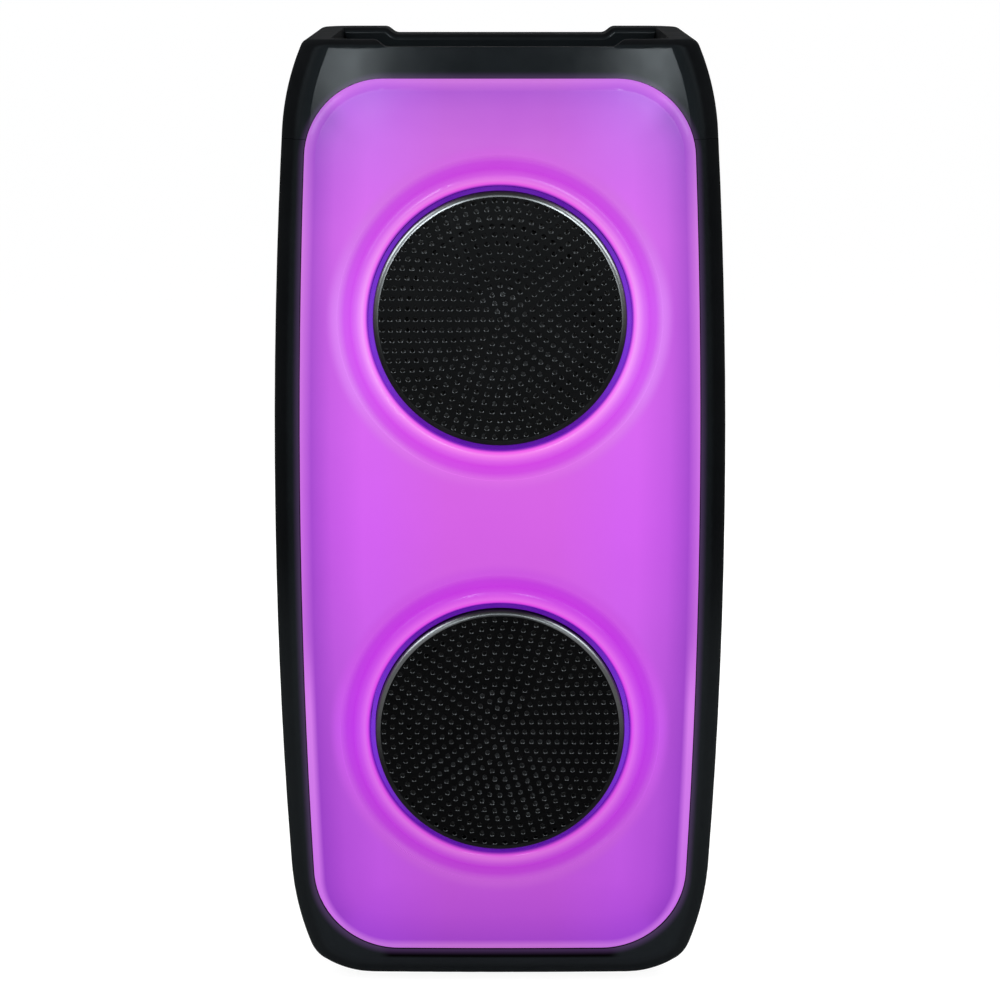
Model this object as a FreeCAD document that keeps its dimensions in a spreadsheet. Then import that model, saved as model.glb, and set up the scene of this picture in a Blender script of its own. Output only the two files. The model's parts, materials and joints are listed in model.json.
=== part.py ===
import FreeCAD, Part
# Party speaker: a tall cabinet with a lit, crowned front panel and two woofers behind round grilles.
# Millimetres. X is to the right, Y to the rear, Z up; the origin is under the middle, on the ground.
import math
import os
from types import SimpleNamespace

import Sketcher
from FreeCAD import Matrix, Placement, Rotation, Vector

# ---------------------------------------------------------------- driving dimensions

# A number is a free choice; a text is worked out by the sheet from the sizes above it.
DIMENSIONS = {
    # cabinet outline, seen from the front
    "crest_height": 645,
    "base_height": 4.8,
    "cabinet_half_width": 151,
    "cabinet_half_depth": 145,
    "port_flange_thickness": 2,
    "back_face": "=cabinet_half_depth - port_flange_thickness",
    "side_radius": 4400,
    "side_middle_height": "=crest_height * 0.5367",
    "foot_flare_radius": 198,
    "foot_flare_angle": 20.7,
    "lower_corner_radius": 23.2,
    "lower_corner_angle": 57.7,
    "sole_radius": 64.5,
    "shoulder_height": "=crest_height - 60",
    "shoulder_radius": 167,
    "shoulder_angle": 22.6,
    "rim_rounding": 7,
    "frame_rounding": 20,
    "rear_rounding": 28,
    "shell_wall": 3,
    "parting_gap": 0.3,
    "housing_seam_height": "=crest_height - 65",
    "frame_seam_depth": 100,
    # crowned light panel
    "panel_top_height": "=crest_height - 25.5",
    "panel_bottom_height": 27.1,
    "crown_radius": 2600,
    "crown_middle_height": "=(panel_top_height + panel_bottom_height) / 2 + 0.8",
    "frame_drop": 4.5,
    "panel_half_width": "=cabinet_half_width - 17.8",
    "panel_side_radius": 5700,
    "panel_side_middle_height": "=crest_height * 0.542",
    "panel_top_corner": 52,
    "panel_bottom_corner": 57.5,
    "panel_wall": 2.6,
    "panel_edge_rounding": 8,
    "panel_clearance": 0.4,
    "panel_skirt_depth": 47,
    # ring dish round each driver
    "driver_spacing": 278.6,
    "opening_radius": 87.4,
    "bead_radius": 92.8,
    "bead_depth": 2.2,
    "bead_foot_depth": 5.4,
    "bead_bow": 1.1,
    "valley_inner_radius": 98.8,
    "valley_outer_radius": 105,
    "valley_depth": 6.4,
    "valley_step": 2.2,
    "dish_radius": 107.5,
    "skirt_depth": 13.7,
    # grille and light ring
    "grille_radius": 83.8,
    "grille_sheet": 1.2,
    "grille_rise": 1.5,
    "grille_edge_rounding": 3.5,
    "grille_hole_radius": 2.6,
    "grille_hole_pitch": 13.2,
    "grille_hole_rings": 5,
    "ring_inner_radius": "=grille_radius + 0.4",
    "ring_outer_radius": "=opening_radius - 0.4",
    "ring_depth": 6,
    # the grilles' inner edges are the foremost points, and the crown lies behind them
    "driver_lean": "=driver_spacing / 2 / crown_radius",
    "grille_front": "=(crown_radius + grille_rise) * sqrt(1 - driver_lean ^ 2)",
    "grille_proud": "=grille_front + (grille_radius - grille_edge_rounding) * driver_lean - crown_radius",
    "crown_front": "=grille_proud - cabinet_half_depth",
    # baffle and reflector
    "baffle_thickness": 8,
    "baffle_top_height": "=crest_height - 43",
    "baffle_clearance": 0.5,
    "collar_depth": 14,
    "collar_bore_radius": 76,
    "reflector_thickness": 1.2,
    "reflector_clearance": 1,
    "strip_width": 8,
    "strip_thickness": 1,
    "strip_inset": 18,
    "strip_bottom": "=panel_bottom_height + 54",
    "strip_length": "=panel_top_height - panel_bottom_height - 108",
    "light_count": 12,
    "light_size": 5,
    "light_height": 1.4,
    # woofers, depths counted inward from the crown along each driver's axis
    "flange_radius": 82.2,
    "flange_thickness": 2,
    "basket_throat_radius": 74.5,
    "basket_back_radius": 43,
    "basket_back_depth": 58,
    "basket_wall": 2,
    "basket_floor_width": 12,
    "basket_window_count": 6,
    "basket_window_sill": 8,
    "basket_window_head": 10,
    "basket_window_width": 26,
    "surround_roll_width": 9.2,
    "surround_rise": 4,
    "surround_thickness": 0.8,
    "surround_land": 4,
    "cone_radius": 61,
    "cone_neck_depth": 42,
    "cone_lip": 2,
    "cone_thickness": 3,
    "dust_cap_radius": 20,
    "dust_cap_rise": 6,
    "dust_cap_thickness": 1,
    "coil_radius": 13.2,
    "coil_wall": 0.4,
    "coil_winding": 0.6,
    "coil_end_depth": 70,
    "spider_depth": 49,
    "spider_thickness": 1.2,
    "running_clearance": 0.3,
    "gap_clearance": 0.5,
    "top_plate_thickness": 6,
    "magnet_radius": 50,
    "magnet_thickness": 16,
    "magnet_bore_gap": 8,
    "yoke_plate_thickness": 6,
    # top housing, deck and handle
    "deck_height": "=crest_height - 33",
    "deck_thickness": 3,
    "rim_front_wall": 13,
    "rim_sag": "=crown_radius - sqrt(crown_radius ^ 2 - (crest_height - crown_middle_height) ^ 2)",
    "well_front": "=frame_drop + rim_sag + rim_front_wall + crown_front",
    "deck_half_width": "=cabinet_half_width - 39",
    "deck_corner": 16,
    "handle_depth": 45,
    "handle_front": "=back_face - handle_depth",
    "handle_thickness": 19,
    "handle_underside_height": "=crest_height - handle_thickness",
    "handle_half_width": "=deck_half_width - 6",
    "handle_end_flare": 7,
    "handle_edge_rounding": 4,
    "notch_half_width": "=handle_half_width - 33",
    "notch_run": 11,
    "notch_depth": 4.8,
    "pocket_front": "=handle_front - 46",
    "pocket_half_width": "=handle_half_width - 24",
    "pocket_floor_height": "=deck_height - 24",
    # control panel
    "control_front_margin": 20.5,
    "control_rear_margin": 9,
    "control_half_width": "=deck_half_width - 14",
    "control_front": "=well_front + control_front_margin",
    "control_rear": "=pocket_front - control_rear_margin",
    "control_thickness": 3,
    "control_ledge": 4,
    "knob_radius": 21,
    "knob_height": 14,
    "knob_gap": 0.8,
    "knob_rim": 5,
    "knob_edge": 1.6,
    "knob_wall": 2,
    "knob_skirt_height": 3,
    "knob_boss_height": 7,
    "knob_flute_count": 30,
    "knob_flute_radius": 1,
    "knob_stem_radius": 3.4,
    "knob_stem_wall": 1.2,
    "knob_stem_reach": 2,
    "button_radius": 8,
    "button_height": 2.4,
    "button_flange": 1.6,
    "button_edge": 0.8,
    "button_dish_land": 3,
    "button_travel": 0.8,
    "button_row": "=control_front + 28",
    "button_pitch": "=control_half_width * 0.3163",
    "knob_row": "=(button_row + button_radius + control_rear) / 2",
    "board_thickness": 1.6,
    "control_board_depth": 11,
    "switch_size": 6,
    "plunger_radius": 1.7,
    "plunger_height": 1.2,
    "encoder_size": 13,
    "encoder_bore_radius": 1.3,
    "shaft_radius": 1,
    "shaft_shoulder": 0.5,
    "shaft_floor_gap": 1,
    "board_post_radius": 3.5,
    "board_post_inset": 9,
    "post_screw_radius": 1.6,
    # back
    "port_radius": 27,
    "port_wall": 2.5,
    "port_flare": 6,
    "port_flare_depth": 16,
    "port_flange_width": 6,
    "port_length": 110,
    "port_height": "=crown_middle_height + 4.6",
    "socket_plate_half_width": 80,
    "socket_plate_bottom": 62,
    "socket_plate_top": 186,
    "socket_plate_thickness": 2.5,
    "socket_ledge": 7,
    "socket_frame_width": 6,
    "board_post_margin": 8,
    "socket_board_gap": 22,
    "socket_row": 92,
    "left_jack_offset": -50,
    "right_jack_offset": -16,
    "aux_jack_offset": 16,
    "usb_offset": 46,
    "inlet_row": 30,
    "microphone_block": 18,
    "microphone_nose_radius": 6,
    "microphone_nose_height": 1,
    "microphone_bore_radius": 3.25,
    "microphone_bore_floor": 3,
    "aux_block": 12,
    "aux_nose_radius": 3.4,
    "aux_nose_height": 0.5,
    "aux_bore_radius": 1.8,
    "aux_bore_floor": 5,
    "usb_width": 14,
    "usb_height": 6.8,
    "usb_wall": 0.6,
    "usb_floor": 4,
    "usb_tongue_width": 11,
    "usb_tongue_thickness": 1.8,
    "usb_tongue_setback": 3,
    "inlet_width": 26,
    "inlet_height": 16,
    "inlet_bore_width": 18,
    "inlet_bore_height": 9,
    "inlet_bore_corner": 4.2,
    "inlet_floor": 6,
    "inlet_pin_radius": 1.2,
    "inlet_pin_spread": 4.3,
    "inlet_pin_setback": 5,
    "sink_half_width": 45,
    "sink_height": 80,
    "sink_base": 4,
    "fin_height": 22,
    "fin_thickness": 1.6,
    "fin_count": 10,
    "screw_well_radius": 4.4,
    "screw_well_wall": 2.4,
    "screw_well_spread": "=cabinet_half_width - 39",
    "top_well_height": "=shoulder_height - 37",
    "screw_play": 0.4,
    "well_floor": 12,
    "panel_screw_length": 9,
    "short_screw_radius": 1.5,
    "short_head_radius": 2.8,
    "short_head_height": 1.4,
    "long_screw_length": 26,
    "long_screw_radius": 1.9,
    "long_head_radius": 3.8,
    "long_head_height": 2.6,
    "screw_slot": 0.9,
    # battery on the floor
    "battery_half_length": 75,
    "battery_depth": 70,
    "battery_height": 42,
    "battery_rounding": 9,
    "battery_front": "=frame_seam_depth + 11 + crown_front",
    "strap_width": 24,
    "strap_sheet": 3,
    "strap_gap": 0.3,
    "strap_foot": 12,
    # feet
    "foot_radius": 16,
    "foot_chamfer": 1.5,
    "foot_spread": "=cabinet_half_width - 69",
    "front_foot_row": "=crown_front + 77",
    "rear_foot_row": "=back_face - 39",
}

doc = FreeCAD.newDocument("party_speaker")
sheet = doc.addObject("Spreadsheet::Sheet", "Sizes")
for row, (alias, number) in enumerate(DIMENSIONS.items(), 1):
    sheet.set(f"A{row}", alias)
    sheet.setAlias(f"B{row}", alias)
    sheet.set(f"B{row}", str(number))
doc.recompute()


class Size:
    """A length that carries its value and the sheet expression that it comes from."""

    def __init__(self, value, text):
        self.value = value
        self.text = text

    def __add__(self, other):
        other = as_size(other)
        return Size(self.value + other.value, f"({self.text} + {other.text})")

    def __sub__(self, other):
        other = as_size(other)
        return Size(self.value - other.value, f"({self.text} - {other.text})")

    def __mul__(self, other):
        other = as_size(other)
        return Size(self.value * other.value, f"({self.text} * {other.text})")

    def __truediv__(self, other):
        other = as_size(other)
        return Size(self.value / other.value, f"({self.text} / {other.text})")

    def __neg__(self):
        return Size(-self.value, f"(0 - {self.text})")

    def __radd__(self, other):
        return as_size(other) + self

    def __rsub__(self, other):
        return as_size(other) - self

    def __rmul__(self, other):
        return as_size(other) * self


def as_size(number):
    return number if isinstance(number, Size) else Size(float(number), repr(float(number)))


S = SimpleNamespace(**{name: Size(float(sheet.get(name)), f"Sizes.{name}") for name in DIMENSIONS})
V = SimpleNamespace(**{name: float(sheet.get(name)) for name in DIMENSIONS})

bindings = []
parts = []


def bind(thing, **sizes):
    """Ties properties of a document object to the sheet; __ in a name stands for a dot."""
    for name, size in sizes.items():
        size = as_size(size)
        path = name.replace("__", ".")
        thing.setExpression(path, size.text)
        bindings.append((thing, path, size))


def keep(thing, name):
    """Registers a finished sub-part under the name of its node."""
    thing.Label = name
    parts.append(thing)
    return thing


def place(thing, x=0, y=0, z=0, rotation=None):
    thing.Placement = Placement(Vector(0, 0, 0), rotation or Rotation())
    bind(thing, Placement__Base__x=x, Placement__Base__y=y, Placement__Base__z=z)


# ---------------------------------------------------------------- sketches and bodies

def new_body(name):
    return doc.addObject("PartDesign::Body", "Body_" + name)


def new_sketch(body, plane, name="Profile"):
    sketch = body.newObject("Sketcher::SketchObject", name)
    origin_plane = [f for f in body.Origin.OriginFeatures if f.Role == plane][0]
    sketch.AttachmentSupport = [(origin_plane, "")]
    sketch.MapMode = "FlatFace"
    return sketch


def trace(sketch, corners):
    """Closed outline through corners (x, y) or (x, y, bulge); a bulge bows the next edge leftwards."""
    corners = [tuple(as_size(value) for value in corner) for corner in corners]
    count = len(corners)
    first = sketch.GeometryCount
    geometry, ends, radii = [], [], []
    for index, corner in enumerate(corners):
        following = corners[(index + 1) % count]
        start = Vector(corner[0].value, corner[1].value, 0)
        end = Vector(following[0].value, following[1].value, 0)
        if len(corner) == 2:
            geometry.append(Part.LineSegment(start, end))
            ends.append((1, 2))
            continue
        run = end - start
        rise = corner[2].value
        across = following[0] - corner[0]
        along = following[1] - corner[1]
        radius = ((across * across + along * along) / 4 + corner[2] * corner[2]) / (2 * corner[2])
        left = Vector(-run.y, run.x, 0).normalize()
        centre = (start + end) * 0.5 + left * (rise - radius.value)
        angles = [math.atan2(point.y - centre.y, point.x - centre.x) for point in (start, end)]
        clockwise = rise > 0
        first_angle, last_angle = reversed(angles) if clockwise else angles
        if last_angle < first_angle:
            last_angle += 2 * math.pi
        circle = Part.Circle(centre, Vector(0, 0, 1), abs(radius.value))
        geometry.append(Part.ArcOfCircle(circle, first_angle, last_angle))
        ends.append((2, 1) if clockwise else (1, 2))
        radii.append((index, radius if clockwise else -radius))
    sketch.addGeometry(geometry, False)
    joins, pins = [], []
    for index, corner in enumerate(corners):
        following = (index + 1) % count
        joins.append(Sketcher.Constraint(
            "Coincident", first + index, ends[index][1], first + following, ends[following][0]))
        for kind, size in zip(("DistanceX", "DistanceY"), corner):
            pin = Sketcher.Constraint(kind, -1, 1, first + index, ends[index][0], size.value)
            pins.append((f"corner{first + index}_{kind[-1]}", pin, size))
    for index, radius in radii:
        pin = Sketcher.Constraint("Radius", first + index, radius.value)
        pins.append((f"bow{first + index}", pin, radius))
    sketch.addConstraint(joins)
    base = sketch.ConstraintCount
    sketch.addConstraint([pin for _, pin, _ in pins])
    for offset, (name, _, size) in enumerate(pins):
        sketch.renameConstraint(base + offset, name)
        sketch.setExpression("Constraints." + name, size.text)


def ring(sketch, radius, x=0, y=0):
    """A circle in a sketch, with its radius and centre tied to the sheet."""
    radius, x, y = as_size(radius), as_size(x), as_size(y)
    index = sketch.addGeometry(Part.Circle(Vector(x.value, y.value, 0), Vector(0, 0, 1), radius.value), False)
    pins = [("Radius", (index, radius.value), radius),
            ("DistanceX", (-1, 1, index, 3, x.value), x),
            ("DistanceY", (-1, 1, index, 3, y.value), y)]
    for kind, values, size in pins:
        number = sketch.addConstraint(Sketcher.Constraint(kind, *values))
        name = f"circle{index}_{kind}"
        sketch.renameConstraint(number, name)
        sketch.setExpression("Constraints." + name, size.text)


def rectangle(sketch, x0, y0, x1, y1):
    trace(sketch, [(x0, y0), (x1, y0), (x1, y1), (x0, y1)])


def pad(body, sketch, length, name="Pad", reverse=False):
    feature = body.newObject("PartDesign::Pad", name)
    feature.Profile = sketch
    feature.Reversed = reverse
    bind(feature, Length=length)
    return feature


def pocket(body, sketch, length, name="Pocket", reverse=False):
    feature = body.newObject("PartDesign::Pocket", name)
    feature.Profile = sketch
    feature.Reversed = reverse
    feature.Refine = False
    bind(feature, Length=length)
    return feature


def polar(body, feature, count, name="Repeat"):
    pattern = body.newObject("PartDesign::PolarPattern", name)
    pattern.Originals = [feature]
    pattern.Axis = ([f for f in body.Origin.OriginFeatures if f.Role == "Z_Axis"][0], [""])
    pattern.Angle = 360
    pattern.Refine = False
    bind(pattern, Occurrences=count)
    body.Tip = pattern
    return pattern


def turned(name, corners):
    """A body of revolution about its own Z axis, from a half section (radius, height)."""
    body = new_body(name)
    sketch = new_sketch(body, "XZ_Plane")
    trace(sketch, corners)
    feature = body.newObject("PartDesign::Revolution", "Turned")
    feature.Profile = sketch
    feature.ReferenceAxis = (sketch, ["V_Axis"])
    feature.Angle = 360
    return body


def shaped(name, shape):
    """A moulding whose shape is worked out from the sheet by Part's own functions."""
    feature = doc.addObject("Part::Feature", "Moulding_" + name)
    feature.Shape = shape
    return keep(feature, name)


# ---------------------------------------------------------------- outline and crown

FRONT = V.crown_front
BACK = V.back_face
BASE = V.base_height
FAR = 400
# how far a cutter runs past the surface it cuts
OVERSHOOT = 30
CROWN_CENTRE = Vector(0, FRONT + V.crown_radius, V.crown_middle_height)


def polar_point(centre, radius, angle):
    """Point at an angle above the X direction, in the front plane."""
    return Vector(centre.x + radius * math.cos(angle), 0, centre.z + radius * math.sin(angle))


def tangent_arcs(start_centre, start_radius, turns, inset):
    """Edges of a run of arcs, each tangent to the last. turns holds (radius, first, last angle)."""
    edges = []
    centre, radius = start_centre, start_radius
    for next_radius, first, last in turns:
        centre = polar_point(centre, radius - next_radius, first)
        radius = next_radius
        ends = [polar_point(centre, radius - inset, angle) for angle in (first, (first + last) / 2, last)]
        edges.append(Part.Arc(*ends).toShape())
    return edges, ends[-1]


def closed_both_sides(edges, low, high):
    """Face bounded by a right-hand run of edges, its mirror image, and level lines at both ends."""
    mirror = Matrix()
    mirror.A11 = -1
    others = [edge.transformGeometry(mirror) for edge in edges]
    level = [Part.LineSegment(Vector(-point.x, 0, point.z), point).toShape() for point in (low, high)]
    wire = Part.Wire(Part.__sortEdges__(edges + others + level))
    return Part.Face(wire)


def cabinet_face(inset):
    """Front outline of the cabinet, moved inward, open-topped well above the crest."""
    low_angle = math.radians(V.foot_flare_angle)
    corner_angle = math.radians(V.lower_corner_angle)
    sole_angle = math.pi / 2
    rise = (V.side_middle_height - BASE
            - V.foot_flare_radius * math.sin(low_angle)
            - V.lower_corner_radius * (math.sin(corner_angle) - math.sin(low_angle))
            - V.sole_radius * (1 - math.sin(corner_angle)))
    flare_start = math.asin(rise / (V.side_radius - V.foot_flare_radius))
    shoulder_start = math.asin((V.shoulder_height - V.side_middle_height) / V.side_radius)
    shoulder_end = math.radians(V.shoulder_angle)
    side_centre = Vector(V.cabinet_half_width - V.side_radius, 0, V.side_middle_height)
    lower, low = tangent_arcs(side_centre, V.side_radius, [
        (V.side_radius, 0, -flare_start),
        (V.foot_flare_radius, -flare_start, -low_angle),
        (V.lower_corner_radius, -low_angle, -corner_angle),
        (V.sole_radius, -corner_angle, -sole_angle)], inset)
    upper, shoulder = tangent_arcs(side_centre, V.side_radius, [
        (V.side_radius, 0, shoulder_start),
        (V.shoulder_radius, shoulder_start, shoulder_end)], inset)
    lift = V.crest_height + OVERSHOOT - shoulder.z
    high = shoulder + Vector(-lift * math.tan(shoulder_end), 0, lift)
    upper.append(Part.LineSegment(shoulder, high).toShape())
    return closed_both_sides(lower + upper, low, high)


def panel_face(inset):
    """Front outline of the light panel, moved inward."""
    radius = V.panel_side_radius
    side_centre = Vector(V.panel_half_width - radius, 0, V.panel_side_middle_height)
    corners = []
    for corner, level, sign in ((V.panel_top_corner, V.panel_top_height, 1),
                                (V.panel_bottom_corner, V.panel_bottom_height, -1)):
        rise = abs(level - side_centre.z) - corner
        start = math.asin(rise / (radius - corner))
        corners.append(tangent_arcs(side_centre, radius, [
            (radius, 0, sign * start), (corner, sign * start, sign * math.pi / 2)], inset))
    (top, high), (bottom, low) = corners
    return closed_both_sides(top + bottom, low, high)


def crown(drop):
    """Ball whose front bulges as the panel does, drop below the panel's face."""
    return Part.makeSphere(V.crown_radius - drop, CROWN_CENTRE)


def crowned_block(face, drop, back, front_rounding, back_rounding=0):
    """Outline carried from the crown to a flat back, with its front and back edges rounded."""
    prism = face.extrude(Vector(0, back + FAR, 0))
    prism.translate(Vector(0, -FAR, 0))
    block = prism.common(crown(drop)).Solids[0]
    if front_rounding:
        block = block.makeFillet(front_rounding, rim_edges(block, is_crown))
    if back_rounding:
        block = block.makeFillet(back_rounding, rim_edges(block, is_back))
    return block


def is_crown(face):
    return face.Surface.TypeId == "Part::GeomSphere"


def is_back(face):
    middle = face.CenterOfMass
    return face.Surface.TypeId == "Part::GeomPlane" and abs(face.normalAt(0, 0).y) > 0.999 and middle.y > 0


def rim_edges(block, wanted):
    """Edges round the wanted face, without the one across the open top of the cabinet's outline."""
    face = [face for face in block.Faces if wanted(face)][0]
    top = block.BoundBox.ZMax
    open_top = top > V.crest_height + 1
    return [edge for edge in face.Edges if not (open_top and edge.CenterOfMass.z > top - 1)]


def cabinet_block(inset):
    """The whole outer form, moved inward, cut level at the crest."""
    block = crowned_block(cabinet_face(inset), V.frame_drop + inset, BACK - inset,
                          V.frame_rounding - inset, V.rear_rounding - inset)
    return block.cut(slab(z0=V.crest_height - inset))


def slab(x0=-FAR, x1=FAR, y0=-FAR, y1=FAR, z0=-FAR, z1=3 * FAR):
    """Box between stated planes, reaching far past the cabinet on the sides left out."""
    return Part.makeBox(x1 - x0, y1 - y0, z1 - z0, Vector(x0, y0, z0))


def rounded_slab(x1, y0, y1, z0, z1, corner):
    """Box that is symmetric about the middle, with rounded upright corners."""
    block = Part.makeBox(2 * x1, y1 - y0, z1 - z0, Vector(-x1, y0, z0))
    upright = [edge for edge in block.Edges if abs(edge.Vertexes[0].Z - edge.Vertexes[1].Z) > 0.5 * (z1 - z0)]
    return block.makeFillet(corner, upright)


TILT = math.asin(V.driver_spacing / 2 / V.crown_radius)
DRIVERS = {"upper": 1, "lower": -1}


def driver_place(side):
    """Placement with its Z axis out of the crown at a driver's centre, and its origin on the crown."""
    outward = Vector(0, -math.cos(TILT), side * math.sin(TILT))
    turn = Rotation(Vector(1, 0, 0), 90 - side * math.degrees(TILT))
    return Placement(CROWN_CENTRE + outward * V.crown_radius, turn)


def at_driver(shape, side):
    placed = shape.copy()
    placed.Placement = driver_place(side)
    return placed


def revolved(corners):
    """Solid of revolution about Z from a half section (radius, height) of straight lines and arcs."""
    edges = []
    for index, corner in enumerate(corners):
        following = corners[(index + 1) % len(corners)]
        start, end = Vector(corner[0], 0, corner[1]), Vector(following[0], 0, following[1])
        if len(corner) == 2:
            edges.append(Part.LineSegment(start, end).toShape())
            continue
        run = end - start
        left = Vector(-run.z, 0, run.x).normalize()
        edges.append(Part.Arc(start, (start + end) * 0.5 + left * corner[2], end).toShape())
    face = Part.Face(Part.Wire(edges))
    return face.revolve(Vector(0, 0, 0), Vector(0, 0, 1), 360)


# ---------------------------------------------------------------- shells

SKIRT_BACK = FRONT + V.panel_skirt_depth
SEAM_BACK = FRONT + V.frame_seam_depth
SEAM = V.housing_seam_height
OUTER = cabinet_block(0)
INNER = cabinet_block(V.shell_wall)
LINED = cabinet_block(V.shell_wall + V.baffle_clearance)


def notch_cutter():
    """Shallow dip across the rim, with S-shaped ends, carried through from front to rear."""
    low = V.crest_height - V.notch_depth
    high = V.crest_height + OVERSHOOT
    inner, outer = V.notch_half_width, V.notch_half_width + V.notch_run
    middle = (inner + outer) / 2
    poles = [Vector(inner, -FAR, low), Vector(middle, -FAR, low),
             Vector(middle, -FAR, V.crest_height), Vector(outer, -FAR, V.crest_height)]
    sway = Part.BezierCurve()
    sway.setPoles(poles)
    right = sway.toShape()
    mirror = Matrix()
    mirror.A11 = -1
    left = right.transformGeometry(mirror)
    corners = [Vector(outer, -FAR, V.crest_height), Vector(outer, -FAR, high),
               Vector(-outer, -FAR, high), Vector(-outer, -FAR, V.crest_height)]
    lines = [Part.LineSegment(a, b).toShape() for a, b in zip(corners, corners[1:])]
    floor = Part.LineSegment(Vector(-inner, -FAR, low), Vector(inner, -FAR, low)).toShape()
    wire = Part.Wire(Part.__sortEdges__([right, left, floor] + lines))
    return Part.Face(wire).extrude(Vector(0, 2 * FAR, 0))


def panel_opening(clearance, back):
    """Prism that clears the light panel, from in front of it to a plane behind."""
    prism = panel_face(-clearance).extrude(Vector(0, back + FAR, 0))
    prism.translate(Vector(0, -FAR, 0))
    return prism


def handle_space(gap):
    """Wedge above the rear wall that the carry handle fills; gap widens it for the housing's cut."""
    bottom, top = V.handle_underside_height - gap, V.crest_height + OVERSHOOT
    front = V.handle_front - gap
    low_half = V.handle_half_width + gap
    high_half = low_half + V.handle_end_flare * (top - bottom) / (V.crest_height - V.handle_underside_height)
    corners = [Vector(-low_half, front, bottom), Vector(low_half, front, bottom),
               Vector(high_half, front, top), Vector(-high_half, front, top)]
    face = Part.Face(Part.makePolygon(corners + corners[:1]))
    return face.extrude(Vector(0, FAR, 0))


def rounded_rim(block):
    """The cabinet's crest with its sharp outer edge taken off."""
    top = [face for face in block.Faces if abs(face.CenterOfMass.z - V.crest_height) < 0.01][0]
    return block.makeFillet(V.rim_rounding, top.OuterWire.Edges)


RIMMED = rounded_rim(OUTER)


def top_housing():
    """Cap with a thick front rim, thin side rims, a sunken deck and a finger pocket under the handle."""
    cap = RIMMED.common(slab(z0=SEAM + V.parting_gap))
    hollow = INNER.common(slab(z1=V.deck_height - V.deck_thickness))
    well = rounded_slab(V.deck_half_width, V.well_front, BACK - V.shell_wall, V.deck_height,
                        V.crest_height + OVERSHOOT, V.deck_corner)
    pocket_outer = rounded_slab(V.pocket_half_width + V.shell_wall, V.pocket_front - V.shell_wall,
                                BACK - V.shell_wall / 2, V.pocket_floor_height - V.shell_wall,
                                V.deck_height, V.deck_corner)
    pocket_inner = rounded_slab(V.pocket_half_width, V.pocket_front, BACK - V.shell_wall,
                                V.pocket_floor_height, V.crest_height, V.deck_corner - V.shell_wall)
    cap = cap.cut(hollow.cut(pocket_outer))
    cap = cap.cut(well)
    cap = cap.cut(pocket_inner)
    cap = cap.cut(panel_opening(V.panel_clearance, SKIRT_BACK))
    cap = cap.cut(handle_space(V.parting_gap))
    cap = cap.cut(notch_cutter())
    half = V.control_half_width - V.control_ledge
    front, rear = V.control_front + V.control_ledge, V.control_rear - V.control_ledge
    opening = slab(-half, half, front, rear, V.deck_height - OVERSHOOT, V.deck_height + OVERSHOOT)
    return shaped("top_housing", cap.cut(opening))


def carry_handle():
    """Hooked bar that closes the top of the rear wall, dipped in the middle for the hand."""
    bar = RIMMED.common(handle_space(0)).cut(notch_cutter())
    front_edges = [edge for edge in bar.Edges
                   if edge.BoundBox.YMax < V.handle_front + 0.01
                   and edge.BoundBox.XLength > V.notch_half_width]
    bar = bar.makeFillet(V.handle_edge_rounding, front_edges)
    return shaped("carry_handle", bar)


def front_frame():
    """Frame round the lower part of the panel, open at the back and at the top."""
    zone = slab(y1=SEAM_BACK, z1=SEAM)
    shell = OUTER.common(zone).cut(INNER)
    return shaped("front_frame", shell.cut(panel_opening(V.panel_clearance, SKIRT_BACK)))


def well_places():
    """Centres of the screw wells on the back, three to a side."""
    heights = (V.socket_plate_bottom, V.port_height, V.top_well_height)
    return [(side * V.screw_well_spread, height) for height in heights for side in (-1, 1)]


def rod(radius, x, z, start, end=FAR):
    """Cylinder along Y between two depths."""
    return Part.makeCylinder(radius, end - start, Vector(x, start, z), Vector(0, 1, 0))


def socket_plate_slab(grow, y0, y1):
    width = V.socket_plate_half_width + grow
    return Part.makeBox(2 * width, y1 - y0, V.socket_plate_top - V.socket_plate_bottom + 2 * grow,
                        Vector(-width, y0, V.socket_plate_bottom - grow))


def rear_cabinet():
    """Deep moulded box with a thickened recess for the socket plate, a port hole and screw wells."""
    zone = slab(y0=SEAM_BACK + V.parting_gap, z1=SEAM)
    shell = OUTER.common(zone)
    hollow = INNER.common(zone)
    inside_back = BACK - V.shell_wall
    hollow = hollow.cut(socket_plate_slab(V.socket_frame_width, inside_back - V.socket_plate_thickness, BACK))
    tower_radius = V.screw_well_radius + V.screw_well_wall
    hollow = hollow.cut(Part.makeCompound([rod(tower_radius, x, z, SEAM_BACK) for x, z in well_places()]))
    shell = shell.cut(hollow)
    cutters = [rod(V.screw_well_radius, x, z, SEAM_BACK + V.well_floor) for x, z in well_places()]
    cutters += [rod(V.long_screw_radius + V.screw_play, x, z, SEAM_BACK - 5, SEAM_BACK + V.well_floor + 5)
                for x, z in well_places()]
    cutters += [rod(V.short_screw_radius, x, z, BACK - V.panel_screw_length, BACK)
                for x, z in plate_screw_places()]
    cutters += [socket_plate_slab(V.parting_gap, BACK - V.socket_plate_thickness, FAR),
                socket_plate_slab(-V.socket_ledge, 0, FAR),
                rod(V.port_radius + V.port_flare + V.parting_gap, 0, V.port_height, 0)]
    for cutter in cutters:
        shell = shell.cut(cutter)
    return shaped("rear_cabinet", shell)


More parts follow.
